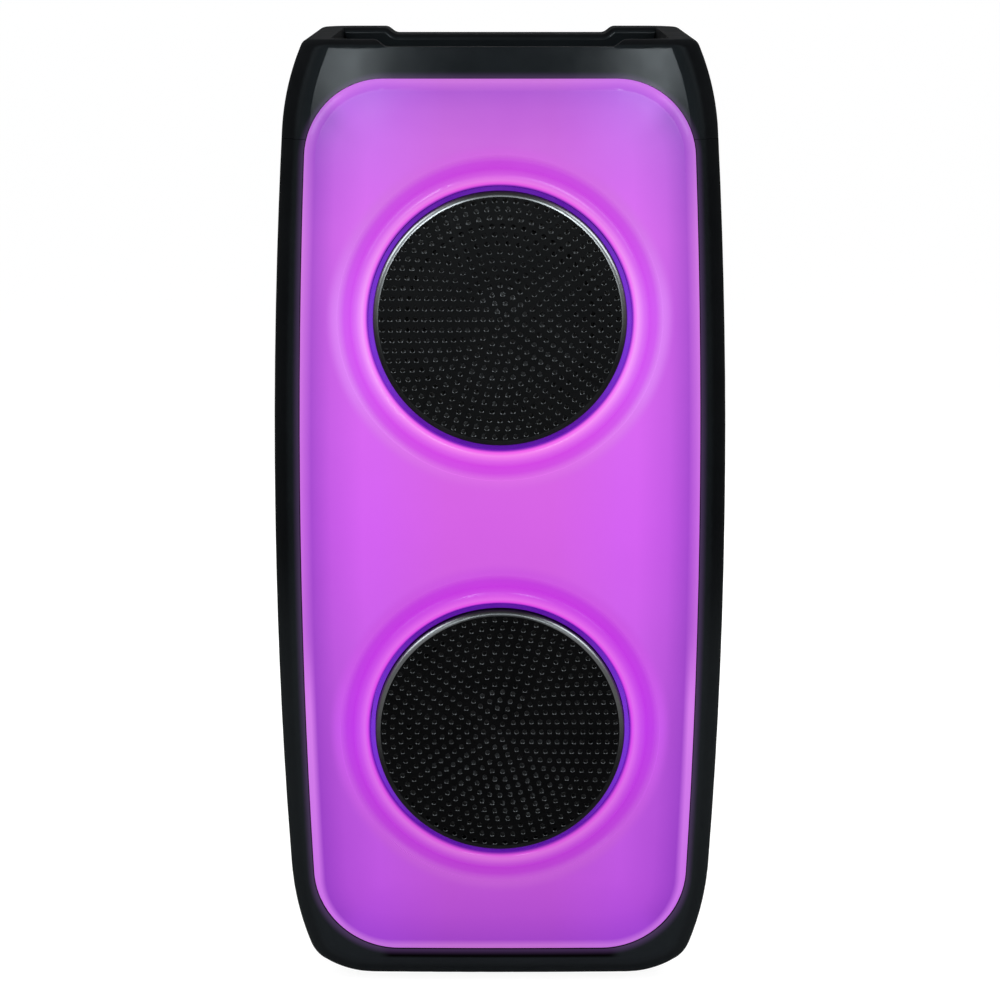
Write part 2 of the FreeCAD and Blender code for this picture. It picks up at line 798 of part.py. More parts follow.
def light_panel():
    """Crowned translucent pan: rolled edge, deep skirt, and a beaded dish round each driver opening."""
    skin = crowned_block(panel_face(0), 0, SKIRT_BACK, V.panel_edge_rounding)
    core = crowned_block(panel_face(V.panel_wall), V.panel_wall, SKIRT_BACK + V.panel_wall,
                         V.panel_edge_rounding - V.panel_wall)
    skin = skin.cut(core)
    ball = crown(0)
    outer_wall = V.dish_radius + V.panel_wall
    back = -V.skirt_depth
    for side in DRIVERS.values():
        boss = Part.makeCylinder(outer_wall, OVERSHOOT - back, Vector(0, 0, back))
        boss = at_driver(boss, side).common(ball)
        dish = revolved([
            (0, OVERSHOOT), (0, back - OVERSHOOT), (V.opening_radius, back - OVERSHOOT),
            (V.opening_radius, -V.bead_foot_depth, V.bead_bow),
            (V.bead_radius, -V.bead_depth, V.bead_bow),
            (V.valley_inner_radius, -V.valley_depth),
            (V.valley_outer_radius, -V.valley_depth),
            (V.dish_radius, -V.valley_depth + V.valley_step),
            (V.dish_radius, OVERSHOOT)])
        roof = -V.valley_depth - V.panel_wall
        relief = revolved([
            (V.opening_radius + V.panel_wall, back - OVERSHOOT), (outer_wall + 1, back - OVERSHOOT),
            (outer_wall + 1, roof), (V.opening_radius + V.panel_wall, roof)])
        skin = skin.fuse(boss).cut(at_driver(dish, side)).cut(at_driver(relief, side))
    return shaped("light_panel", skin)


def front_baffle():
    """Board inside the frame with two tilted collars that bring the drivers up to the crown."""
    board = LINED.common(slab(y0=SKIRT_BACK, y1=SKIRT_BACK + V.baffle_thickness, z1=V.baffle_top_height))
    for side in DRIVERS.values():
        collar = Part.makeCylinder(V.ring_outer_radius, FAR, Vector(0, 0, -V.collar_depth - FAR))
        collar = at_driver(collar, side).common(slab(y1=SKIRT_BACK + V.baffle_thickness))
        board = board.fuse(collar)
    for side in DRIVERS.values():
        bore = Part.makeCylinder(V.collar_bore_radius, FAR, Vector(0, 0, OVERSHOOT - FAR))
        board = board.cut(at_driver(bore, side))
    for x, z in well_places():
        post = rod(V.screw_well_radius + V.screw_well_wall, x, z,
                   SKIRT_BACK + V.baffle_thickness - 1, SEAM_BACK)
        pilot = rod(V.long_screw_radius, x, z, SEAM_BACK + V.well_floor - V.long_screw_length, SEAM_BACK + 1)
        board = board.fuse(post).cut(pilot)
    return shaped("front_baffle", board.removeSplitter())


# ---------------------------------------------------------------- drivers

def driver_node(body, name, key):
    body.Placement = driver_place(DRIVERS[key])
    return keep(body, f"{key}_{name}")


def hole_places():
    """Centres of the grille's holes: one in the middle, then rings that each gain six."""
    places = [(0, 0)]
    for ring_number in range(1, int(V.grille_hole_rings) + 1):
        for step in range(6 * ring_number):
            turn = math.radians(60 * step / ring_number)
            radius = V.grille_hole_pitch * ring_number
            places.append((radius * math.cos(turn), radius * math.sin(turn)))
    return places


def pressed_disc():
    """Steel disc with a rolled edge, punched right through in rings of six-sided holes."""
    face, sheet_metal, edge = V.grille_rise, V.grille_sheet, V.grille_edge_rounding
    flat, rim, seat = V.grille_radius - edge, V.grille_radius, -V.collar_depth
    bow = 1 - math.sqrt(0.5)
    disc = revolved([
        (0, face), (flat, face, bow * edge), (rim, face - edge), (rim, seat), (rim - sheet_metal, seat),
        (rim - sheet_metal, face - edge, -bow * (edge - sheet_metal)),
        (flat, face - sheet_metal), (0, face - sheet_metal)])
    corners = [Vector(V.grille_hole_radius * math.cos(math.radians(60 * corner)),
                      V.grille_hole_radius * math.sin(math.radians(60 * corner)), 5) for corner in range(7)]
    punch = Part.Face(Part.makePolygon(corners)).extrude(Vector(0, 0, -5 + face - 2 * sheet_metal))
    punches = [punch.translated(Vector(x, y, 0)) for x, y in hole_places()]
    return disc.cut(Part.makeCompound(punches))


def light_ring(key):
    """Clear light guide that glows between the grille and the panel."""
    body = turned(f"{key}_light_ring", [
        (S.ring_inner_radius, -S.collar_depth), (S.ring_outer_radius, -S.collar_depth),
        (S.ring_outer_radius, -S.ring_depth), (S.ring_inner_radius, -S.ring_depth)])
    driver_node(body, "light_ring", key)


def woofer(key):
    """A 165 mm woofer. Everything is stacked inward from the collar's seat."""
    seat = -S.collar_depth
    flange_top = seat + S.flange_thickness
    back = -S.basket_back_depth
    wall = S.basket_wall
    throat, rear = S.basket_throat_radius, S.basket_back_radius
    bore = S.cone_radius + S.surround_roll_width + S.running_clearance

    basket = turned(f"{key}_basket", [
        (bore, flange_top), (S.flange_radius, flange_top), (S.flange_radius, seat), (throat, seat),
        (rear, back), (rear - S.basket_floor_width, back), (rear - S.basket_floor_width, back + wall),
        (rear - wall, back + wall),
        (throat - wall, seat - wall), (bore, seat - wall)])
    sketch = new_sketch(basket, "XZ_Plane", "Window")
    half = S.basket_window_width / 2
    rectangle(sketch, -half, back + S.basket_window_sill, half, seat - S.basket_window_head)
    window = pocket(basket, sketch, S.flange_radius, "WindowCut")
    polar(basket, window, S.basket_window_count, "Windows")
    driver_node(basket, "woofer_basket", key)

    rise = S.surround_rise
    outer_foot = bore
    inner_foot = S.cone_radius + S.running_clearance
    thickness = S.surround_thickness
    surround = turned(f"{key}_surround", [
        (S.flange_radius - S.surround_land, flange_top),
        (S.flange_radius - S.surround_land, flange_top + thickness),
        (outer_foot, flange_top + thickness, -rise), (inner_foot, flange_top + thickness),
        (inner_foot, flange_top), (inner_foot + thickness, flange_top, rise - thickness),
        (outer_foot - thickness, flange_top)])
    driver_node(surround, "surround", key)

    neck = -S.cone_neck_depth
    glue_line = 0.05
    cone_bore = S.coil_radius + glue_line
    lip, depth = S.cone_lip, S.cone_thickness
    cone = turned(f"{key}_cone", [
        (S.cone_radius, flange_top), (S.cone_radius, flange_top + thickness),
        (S.cone_radius - lip, flange_top + thickness), (cone_bore + depth, neck + lip),
        (cone_bore, neck + lip), (cone_bore, neck), (cone_bore + 1.2 * depth, neck)])
    driver_node(cone, "cone", key)

    slope = (flange_top + thickness - neck - lip) / (S.cone_radius - lip - cone_bore - depth)
    cap_foot = neck + lip + slope * (S.dust_cap_radius - cone_bore - depth) + 2 * glue_line
    cap = turned(f"{key}_dust_cap", [
        (0, cap_foot + S.dust_cap_rise), (S.dust_cap_radius, cap_foot + 0.4 * S.dust_cap_thickness),
        (S.dust_cap_radius, cap_foot), (0, cap_foot + S.dust_cap_rise - S.dust_cap_thickness)])
    driver_node(cap, "dust_cap", key)

    end = -S.coil_end_depth
    plate_top = back
    winding_top = plate_top + 2
    coil = turned(f"{key}_voice_coil", [
        (S.coil_radius - S.coil_wall, neck + depth), (S.coil_radius, neck + depth),
        (S.coil_radius, winding_top),
        (S.coil_radius + S.coil_winding, winding_top), (S.coil_radius + S.coil_winding, end + 1),
        (S.coil_radius, end + 1), (S.coil_radius, end), (S.coil_radius - S.coil_wall, end)])
    driver_node(coil, "voice_coil", key)

    level = -S.spider_depth
    reach = rear + (throat - rear) * ((level - back) / (seat - back)) - wall * 1.5
    spider = turned(f"{key}_spider", [
        (S.coil_radius + S.running_clearance, level), (reach, level),
        (reach, level + S.spider_thickness),
        (S.coil_radius + S.running_clearance, level + S.spider_thickness)])
    driver_node(spider, "spider", key)

    plate_bottom = back - S.top_plate_thickness
    plate_bore = S.coil_radius + S.coil_winding + S.gap_clearance
    plate = turned(f"{key}_top_plate", [
        (plate_bore, plate_bottom), (rear, plate_bottom), (rear, back), (plate_bore, back)])
    driver_node(plate, "top_plate", key)

    magnet_bottom = plate_bottom - S.magnet_thickness
    magnet = turned(f"{key}_magnet", [
        (plate_bore + S.magnet_bore_gap, magnet_bottom), (S.magnet_radius, magnet_bottom),
        (S.magnet_radius, plate_bottom), (plate_bore + S.magnet_bore_gap, plate_bottom)])
    driver_node(magnet, "magnet", key)

    pole = S.coil_radius - S.coil_wall - S.gap_clearance
    yoke_bottom = magnet_bottom - S.yoke_plate_thickness
    yoke = turned(f"{key}_yoke", [
        (0, yoke_bottom), (rear, yoke_bottom), (rear, magnet_bottom), (pole, magnet_bottom),
        (pole, back), (0, back)])
    driver_node(yoke, "yoke", key)


# ---------------------------------------------------------------- controls on the deck

PLATE_TOP = S.deck_height + S.control_thickness
BOARD_TOP = S.deck_height - S.control_board_depth
BUTTONS = ("power_button", "source_button", "previous_button", "play_button", "next_button", "light_button")


def button_x(index):
    return S.button_pitch * (index - (len(BUTTONS) - 1) / 2)


def control_panel():
    """Glossy plate on the deck, drilled for the knob and buttons, with posts down to the board."""
    body = new_body("control_panel")
    sketch = new_sketch(body, "XY_Plane")
    rectangle(sketch, -S.control_half_width, S.control_front, S.control_half_width, S.control_rear)
    for index in range(len(BUTTONS)):
        ring(sketch, S.button_radius + S.running_clearance, button_x(index), S.button_row)
    ring(sketch, S.knob_stem_radius + S.running_clearance, 0, S.knob_row)
    pad(body, sketch, S.control_thickness, "Plate")
    posts = new_sketch(body, "XY_Plane", "PostPlan")
    for x, y in post_places():
        ring(posts, S.board_post_radius, x, y)
    pad(body, posts, S.control_board_depth, "Posts", reverse=True)
    place(body, z=S.deck_height)
    keep(body, "control_panel")


def post_places():
    inset = S.board_post_inset
    return [(side * (S.control_half_width - inset), y)
            for side in (-1, 1) for y in (S.control_front + inset, S.control_rear - inset)]


def control_board():
    body = new_body("control_board")
    sketch = new_sketch(body, "XY_Plane")
    edge = S.board_post_inset - S.board_post_radius
    rectangle(sketch, edge - S.control_half_width, S.control_front + edge,
              S.control_half_width - edge, S.control_rear - edge)
    for x, y in post_places():
        ring(sketch, S.post_screw_radius, x, y)
    pad(body, sketch, S.board_thickness)
    place(body, z=BOARD_TOP - S.board_thickness)
    keep(body, "control_board")


SWITCH_TOP = S.deck_height - S.button_flange - S.button_travel - S.running_clearance


def button_switches():
    """Tact switches under the buttons, each a can with a round plunger."""
    half = V.switch_size / 2
    height = SWITCH_TOP.value - BOARD_TOP.value
    solids = []
    for index in range(len(BUTTONS)):
        x = button_x(index).value
        can = Part.makeBox(V.switch_size, V.switch_size, height - V.plunger_height,
                           Vector(x - half, V.button_row - half, BOARD_TOP.value))
        plunger = Part.makeCylinder(V.plunger_radius, height, Vector(x, V.button_row, BOARD_TOP.value))
        solids.append(can.fuse(plunger))
    shaped("button_switches", Part.makeCompound(solids))


def push_button(index, name):
    """Round cap through the plate, with a flange below that keeps it in."""
    cap_top = S.control_thickness + S.button_height
    cap, flange = S.button_radius, S.button_radius + S.button_flange
    under_plate = -0.1
    edge, land = S.button_edge, cap - S.button_dish_land
    body = turned(name, [
        (0, -S.button_flange), (flange, -S.button_flange), (flange, under_plate), (cap, under_plate),
        (cap, cap_top - edge, 0.3 * edge), (cap - edge, cap_top), (land, cap_top, 0.25 * edge),
        (0.4 * land, cap_top - edge), (0, cap_top - edge)])
    place(body, button_x(index), S.button_row, S.deck_height)
    keep(body, name)


def volume_knob():
    """Turned dial with a fluted rim, a dished top and a stem that drops onto the encoder's shaft."""
    base, wall, stem = S.knob_gap, S.knob_wall, S.knob_stem_radius
    radius, edge = S.knob_radius, S.knob_edge
    top = base + S.knob_height
    land = radius - S.knob_rim
    bore = stem - S.knob_stem_wall
    depth = S.control_thickness + S.knob_stem_reach
    body = turned("volume_knob", [
        (0, top - edge), (land - 1, top - edge), (land, top), (radius - wall, top, 0.3 * edge),
        (radius - 0.4 * edge, top - edge), (radius, base), (radius - wall, base),
        (radius - wall, base + S.knob_skirt_height), (stem + wall, base + S.knob_skirt_height),
        (stem + wall, base), (stem, base), (stem, -depth), (bore, -depth),
        (bore, base + S.knob_boss_height), (0, base + S.knob_boss_height)])
    sketch = new_sketch(body, "XY_Plane", "FlutePlan")
    ring(sketch, S.knob_flute_radius, radius + 0.5 * S.knob_flute_radius, 0)
    flute = pocket(body, sketch, top - 1.2 * edge, "Flute", reverse=True)
    polar(body, flute, S.knob_flute_count, "Flutes")
    place(body, 0, S.knob_row, PLATE_TOP)
    keep(body, "volume_knob")


ENCODER_TOP = S.deck_height - BOARD_TOP - S.knob_stem_reach - S.shaft_shoulder


def volume_encoder():
    """Encoder can on the board with its bore for the shaft."""
    body = new_body("volume_encoder")
    sketch = new_sketch(body, "XY_Plane")
    half = S.encoder_size / 2
    rectangle(sketch, -half, -half, half, half)
    ring(sketch, S.encoder_bore_radius)
    pad(body, sketch, ENCODER_TOP)
    place(body, 0, S.knob_row, BOARD_TOP)
    keep(body, "volume_encoder")


def encoder_shaft():
    """Stepped shaft from inside the encoder up into the knob, turning with it."""
    bore = S.knob_stem_radius - S.knob_stem_wall - 0.05
    low, shoulder = S.shaft_floor_gap, ENCODER_TOP + S.shaft_shoulder
    high = PLATE_TOP + S.knob_gap + S.knob_boss_height - BOARD_TOP - S.running_clearance
    body = turned("encoder_shaft", [
        (0, low), (S.shaft_radius, low), (S.shaft_radius, shoulder),
        (bore, shoulder + 0.3), (bore, high), (0, high)])
    place(body, 0, S.knob_row, BOARD_TOP)
    keep(body, "encoder_shaft")


# ---------------------------------------------------------------- back, power and feet

def bass_port():
    """Flared tube through the back, with a flange against the outside of the wall."""
    radius, wall = S.port_radius, S.port_wall
    mouth = radius + S.port_flare
    edge = mouth + S.port_flange_width
    lip, flare = S.port_flange_thickness, S.port_flare_depth
    body = turned("bass_port", [
        (radius, -S.port_length), (radius, -flare, -0.3 * S.port_flare), (mouth - 1, lip),
        (edge - 1, lip), (edge, lip - 1), (edge, 0), (mouth, 0), (mouth, -S.shell_wall),
        (radius + wall, -flare - lip), (radius + wall, -S.port_length)])
    place(body, 0, S.back_face, S.port_height, Rotation(Vector(1, 0, 0), -90))
    keep(body, "bass_port")


PLATE_BACK = BACK - V.socket_plate_thickness
SOCKET_BOARD = PLATE_BACK - V.socket_board_gap
SOCKET_ROW = V.socket_plate_bottom + V.socket_row
INLET_ROW = V.socket_plate_bottom + V.inlet_row
JACKS = {"microphone_jack_left": V.left_jack_offset, "microphone_jack_right": V.right_jack_offset,
         "aux_jack": V.aux_jack_offset}
USB_X = V.usb_offset


def bar(width, height, x, z, start, end):
    """Block along Y between two depths, centred on x and z."""
    return Part.makeBox(width, end - start, height, Vector(x - width / 2, start, z - height / 2))


def nose_radius(jack):
    return V.aux_nose_radius if jack == "aux_jack" else V.microphone_nose_radius


def connector_panel():
    """Plate let into the back, with four posts inward that carry the amplifier board."""
    plate = socket_plate_slab(0, PLATE_BACK, BACK)
    gap = V.parting_gap
    behind = PLATE_BACK - 5
    cutters = [rod(nose_radius(jack) + gap, x, SOCKET_ROW, behind) for jack, x in JACKS.items()]
    cutters.append(bar(V.usb_width + 2 * gap, V.usb_height + 2 * gap, USB_X, SOCKET_ROW, behind, FAR))
    cutters.append(bar(V.inlet_width + 2 * gap, V.inlet_height + 2 * gap, 0, INLET_ROW, behind, FAR))
    cutters += [rod(V.short_screw_radius + gap, x, z, behind) for x, z in plate_screw_places()]
    for x, z in board_posts():
        plate = plate.fuse(rod(V.board_post_radius, x, z, SOCKET_BOARD, PLATE_BACK + 1))
    shaped("connector_panel", plate.cut(Part.makeCompound(cutters)))


def board_posts():
    inset = V.socket_ledge + V.board_post_margin
    return [(side * (V.socket_plate_half_width - inset), z) for side in (-1, 1)
            for z in (V.socket_plate_bottom + inset, V.socket_plate_top - inset)]


def plate_screw_places():
    inset = V.socket_ledge / 2
    middle = (V.socket_plate_bottom + V.socket_plate_top) / 2
    return [(side * (V.socket_plate_half_width - inset), z) for side in (-1, 1)
            for z in (V.socket_plate_bottom + inset, middle, V.socket_plate_top - inset)]


def jack_socket(jack, x, size, bore_radius, floor, nose_height):
    """Square jack body on the board with a round nose out through the plate."""
    block = bar(size, size, x, SOCKET_ROW, SOCKET_BOARD, PLATE_BACK)
    nose = rod(nose_radius(jack), x, SOCKET_ROW, SOCKET_BOARD, BACK + nose_height)
    bore = rod(bore_radius, x, SOCKET_ROW, SOCKET_BOARD + floor)
    shaped(jack, block.fuse(nose).cut(bore))


def usb_port():
    """Folded steel shell round a tongue."""
    shell = bar(V.usb_width, V.usb_height, USB_X, SOCKET_ROW, SOCKET_BOARD, BACK)
    hollow = bar(V.usb_width - 2 * V.usb_wall, V.usb_height - 2 * V.usb_wall, USB_X, SOCKET_ROW,
                 SOCKET_BOARD + V.usb_floor, FAR)
    tongue = bar(V.usb_tongue_width, V.usb_tongue_thickness, USB_X, SOCKET_ROW + 0.1 * V.usb_height,
                 SOCKET_BOARD, BACK - V.usb_tongue_setback)
    shaped("usb_port", shell.cut(hollow.cut(tongue)))


def power_inlet():
    """Mains inlet with the rounded well of a two-pole lead; its two pins are a piece of their own."""
    block = bar(V.inlet_width, V.inlet_height, 0, INLET_ROW, SOCKET_BOARD, BACK)
    floor = SOCKET_BOARD + V.inlet_floor
    well = bar(V.inlet_bore_width, V.inlet_bore_height, 0, INLET_ROW, floor, FAR)
    lengthwise = [edge for edge in well.Edges if edge.BoundBox.YLength > FAR / 2]
    shaped("power_inlet", block.cut(well.makeFillet(V.inlet_bore_corner, lengthwise)))
    pins = [rod(V.inlet_pin_radius, side * V.inlet_pin_spread, INLET_ROW, floor, BACK - V.inlet_pin_setback)
            for side in (-1, 1)]
    shaped("inlet_pins", Part.makeCompound(pins))


def amplifier_board():
    edge = V.socket_ledge + 1
    board = socket_plate_slab(-edge, SOCKET_BOARD - V.board_thickness, SOCKET_BOARD)
    shaped("amplifier_board", board)


def heat_sink():
    """Finned extrusion on the front of the amplifier board."""
    seat = SOCKET_BOARD - V.board_thickness
    middle = (V.socket_plate_bottom + V.socket_plate_top) / 2
    half = V.sink_half_width
    pitch = (2 * half - V.fin_thickness) / (V.fin_count - 1)
    sink = bar(2 * half, V.sink_height, 0, middle, seat - V.sink_base, seat)
    for index in range(int(V.fin_count)):
        x = index * pitch - half + V.fin_thickness / 2
        sink = sink.fuse(bar(V.fin_thickness, V.sink_height, x, middle,
                             seat - V.sink_base - V.fin_height, seat))
    shaped("heat_sink", sink.removeSplitter())


FLOOR = BASE + V.shell_wall


def battery_pack():
    """Shrink-wrapped pack of cells lying on the cabinet's floor."""
    half = V.battery_half_length
    pack = Part.makeBox(2 * half, V.battery_depth, V.battery_height, Vector(-half, V.battery_front, FLOOR))
    long_edges = [edge for edge in pack.Edges if edge.BoundBox.XLength > half]
    shaped("battery_pack", pack.makeFillet(V.battery_rounding, long_edges))


def battery_bracket():
    """Strap bent over the battery from flat sheet, with a foot each side."""
    gap, sheet_metal, foot = V.strap_gap, V.strap_sheet, V.strap_foot
    front, back = V.battery_front - gap, V.battery_front + V.battery_depth + gap
    top = FLOOR + V.battery_height + gap
    half = V.strap_width / 2
    outline = [(front - foot, FLOOR), (front, FLOOR), (front, top), (back, top), (back, FLOOR),
               (back + foot, FLOOR), (back + foot, FLOOR + sheet_metal),
               (back + sheet_metal, FLOOR + sheet_metal),
               (back + sheet_metal, top + sheet_metal), (front - sheet_metal, top + sheet_metal),
               (front - sheet_metal, FLOOR + sheet_metal), (front - foot, FLOOR + sheet_metal)]
    corners = [Vector(-half, y, z) for y, z in outline + outline[:1]]
    shaped("battery_bracket", Part.Face(Part.makePolygon(corners)).extrude(Vector(2 * half, 0, 0)))


def reflector_tray():
    """White sheet on the baffle behind the light panel, open round both collars."""
    tray = panel_face(V.panel_wall + V.reflector_clearance).extrude(Vector(0, V.reflector_thickness, 0))
    tray.translate(Vector(0, SKIRT_BACK - V.reflector_thickness, 0))
    for side in DRIVERS.values():
        hole = Part.makeCylinder(V.ring_outer_radius + V.reflector_clearance, FAR, Vector(0, 0, -FAR / 2))
        tray = tray.cut(at_driver(hole, side))
    shaped("reflector_tray", tray)


def led_strips():
    """Two upright strips with small white packages, on the reflector beside the drivers."""
    solids = []
    face = SKIRT_BACK - V.reflector_thickness
    front = face - V.strip_thickness
    pitch = V.strip_length / V.light_count
    for side in (-1, 1):
        x = side * (V.panel_half_width - V.strip_inset)
        strip = bar(V.strip_width, V.strip_length, x, V.strip_bottom + V.strip_length / 2, front, face)
        for index in range(int(V.light_count)):
            z = V.strip_bottom + (index + 0.5) * pitch
            strip = strip.fuse(bar(V.light_size, V.light_size, x, z, front - V.light_height, front))
        solids.append(strip)
    shaped("led_strips", Part.makeCompound(solids))


def feet():
    """Low rubber feet, chamfered where they meet the ground."""
    for name, x, y in (("foot_front_left", -1, S.front_foot_row), ("foot_front_right", 1, S.front_foot_row),
                       ("foot_rear_left", -1, S.rear_foot_row), ("foot_rear_right", 1, S.rear_foot_row)):
        body = turned(name, [
            (0, 0), (S.foot_radius - S.foot_chamfer, 0), (S.foot_radius, S.foot_chamfer),
            (S.foot_radius, S.base_height), (0, S.base_height)])
        place(body, x * S.foot_spread, y, 0)
        keep(body, name)


def screw(head_radius, head_height, shank_radius, length):
    """Pan head screw along Z: the head's underside at the origin, its shank pointing down."""
    head = Part.makeCylinder(head_radius, head_height)
    slot = Part.makeBox(head_radius, V.screw_slot, head_height / 2,
                        Vector(-head_radius / 2, -V.screw_slot / 2, head_height / 2))
    shank = Part.makeCylinder(shank_radius, length, Vector(0, 0, -length))
    return head.cut(slot).fuse(shank)


def screw_groups():
    groups = {
        "connector_panel_screws": (plate_screw_places(), BACK, V.short_head_radius, V.short_head_height,
                                   V.short_screw_radius, V.panel_screw_length),
        "cabinet_screws": (well_places(), SEAM_BACK + V.well_floor, V.long_head_radius, V.long_head_height,
                           V.long_screw_radius, V.long_screw_length),
    }
    for name, (places, seat, *sizes) in groups.items():
        solids = []
        for x, z in places:
            one = screw(*sizes)
            one.Placement = Placement(Vector(x, seat, z), Rotation(Vector(1, 0, 0), -90))
            solids.append(one)
        shaped(name, Part.makeCompound(solids))


# ---------------------------------------------------------------- assembly

front_frame()
top_housing()
carry_handle()
rear_cabinet()
light_panel()
front_baffle()
reflector_tray()
led_strips()
punched_disc = pressed_disc()
for driver in DRIVERS:
    shaped(f"{driver}_grille", at_driver(punched_disc, DRIVERS[driver]))
    light_ring(driver)
    woofer(driver)
control_panel()
control_board()
button_switches()
for number, label in enumerate(BUTTONS):
    push_button(number, label)
volume_knob()
volume_encoder()
encoder_shaft()
bass_port()
connector_panel()
for jack_name, jack_x in JACKS.items():
    if jack_name == "aux_jack":
        jack_socket(jack_name, jack_x, V.aux_block, V.aux_bore_radius, V.aux_bore_floor, V.aux_nose_height)
    else:
        jack_socket(jack_name, jack_x, V.microphone_block, V.microphone_bore_radius,
                    V.microphone_bore_floor, V.microphone_nose_height)
usb_port()
power_inlet()
amplifier_board()
heat_sink()
battery_pack()
battery_bracket()
feet()
screw_groups()

doc.recompute()

for thing, path, size in bindings:
    value = thing
    for step in path.split("."):
        value = getattr(value, step)
    if abs(float(value) - size.value) > 1e-6:
        raise RuntimeError(f"{thing.Label}.{path} doesn't follow the sheet")

failed = [f"{thing.getParentGeoFeatureGroup().Label if thing.getParentGeoFeatureGroup() else ''}/{thing.Label}"
          for thing in doc.Objects if "Invalid" in thing.State or "Error" in thing.State]
if failed:
    raise RuntimeError("did not build: " + ", ".join(failed))
for part in parts:
    if part.Shape.isNull() or not part.Shape.isValid() or not part.Shape.Solids:
        raise RuntimeError(f"{part.Label} has no valid solid")

os.makedirs("parts", exist_ok=True)
for part in parts:
    part.Shape.exportStep(os.path.join("parts", part.Label + ".step"))
print(len(parts), "parts written")
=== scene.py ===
import bmesh
import bpy
import json
import math
from mathutils import Matrix, Vector

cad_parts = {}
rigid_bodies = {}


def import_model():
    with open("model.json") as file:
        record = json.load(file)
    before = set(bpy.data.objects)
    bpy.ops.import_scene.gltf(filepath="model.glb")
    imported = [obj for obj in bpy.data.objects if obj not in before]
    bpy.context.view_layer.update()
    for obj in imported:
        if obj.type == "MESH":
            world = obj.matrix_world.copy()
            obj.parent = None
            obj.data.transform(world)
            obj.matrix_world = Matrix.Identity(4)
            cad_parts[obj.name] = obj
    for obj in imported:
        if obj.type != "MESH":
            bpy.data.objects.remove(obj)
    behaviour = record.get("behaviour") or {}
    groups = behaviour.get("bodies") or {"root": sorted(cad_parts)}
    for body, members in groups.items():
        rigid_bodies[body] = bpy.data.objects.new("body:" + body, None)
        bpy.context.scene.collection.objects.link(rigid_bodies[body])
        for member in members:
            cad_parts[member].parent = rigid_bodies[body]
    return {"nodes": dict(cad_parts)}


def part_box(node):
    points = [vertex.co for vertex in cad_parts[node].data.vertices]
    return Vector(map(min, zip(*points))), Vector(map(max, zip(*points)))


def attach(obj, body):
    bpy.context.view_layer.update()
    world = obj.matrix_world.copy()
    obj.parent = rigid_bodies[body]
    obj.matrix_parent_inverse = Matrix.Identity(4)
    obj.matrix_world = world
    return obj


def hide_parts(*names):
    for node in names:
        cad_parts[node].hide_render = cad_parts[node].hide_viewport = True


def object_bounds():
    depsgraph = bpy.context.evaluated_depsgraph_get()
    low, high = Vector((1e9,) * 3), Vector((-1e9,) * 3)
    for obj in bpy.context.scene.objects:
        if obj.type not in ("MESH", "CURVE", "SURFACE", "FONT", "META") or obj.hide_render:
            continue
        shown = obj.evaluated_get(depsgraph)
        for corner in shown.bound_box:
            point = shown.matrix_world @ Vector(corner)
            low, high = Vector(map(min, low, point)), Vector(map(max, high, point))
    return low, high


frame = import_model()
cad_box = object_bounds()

nodes_of = frame["nodes"]


# ---------------------------------------------------------------- studio
# A pale floor in a pale room. Tall soft boxes at either side and a broad one behind light the speaker
# without showing in its gloss, and a long one hangs over its crest. Four bright cards show only in
# the gloss: two along the grilles' edges and two at the top corners.

def aimed_at(point, place):
    """Rotation that points a lamp or a camera from its place at a point."""
    return (Vector(point) - Vector(place)).to_track_quat("-Z", "Y").to_euler()


def soft_box(name, place, target, width, height, watts):
    """A soft white lamp with a flat face, which the camera doesn't see."""
    bpy.ops.object.light_add(type="AREA", location=place, rotation=aimed_at(target, place))
    lamp = bpy.context.object
    lamp.name = name
    lamp.data.shape = "RECTANGLE"
    lamp.data.size = width
    lamp.data.size_y = height
    lamp.data.energy = watts
    lamp.visible_camera = False
    return lamp


def seen_share(tree):
    """1 on rays that show a thing to the camera, straight or by a reflection, and 0 on rays that light."""
    ray = tree.nodes.new("ShaderNodeLightPath")
    share = ray.outputs["Is Camera Ray"]
    for way in ("Is Glossy Ray", "Is Transmission Ray"):
        either = tree.nodes.new("ShaderNodeMath")
        either.operation = "MAXIMUM"
        tree.links.new(share, either.inputs[0])
        tree.links.new(ray.outputs[way], either.inputs[1])
        share = either.outputs[0]
    return share


ROOM_LIGHT = 0.30
FLOOR_GLOW = 1.16
FLOOR_GLOW_SHARE = 0.8

soft_box("soft_box_left", (-1.25, -1.35, 1.15), (0, 0, 0.40), 0.6, 1.4, 25).visible_glossy = False
soft_box("soft_box_right", (1.25, -1.35, 1.15), (0, 0, 0.40), 0.6, 1.4, 23).visible_glossy = False
soft_box("soft_box_top", (0.0, 0.25, 1.75), (0, 0, 0.5), 1.1, 0.5, 16)
soft_box("soft_box_rear", (0.5, 1.8, 1.2), (0, 0, 0.35), 1.2, 1.2, 45).visible_glossy = False
for side in (-1, 1):
    edge_card = soft_box("edge_card", (side * 1.20, -0.35, 1.40), (0, -0.14, 0.46), 1.0, 0.9, 64)
    corner_card = soft_box("corner_card", (side * 0.285, -1.62, 1.06), (side * 0.10, -0.14, 0.62),
                           0.03, 0.5, 36)
    for card in (edge_card, corner_card):
        card.data.color = (0.85, 0.95, 1.0)
        card.visible_diffuse = False

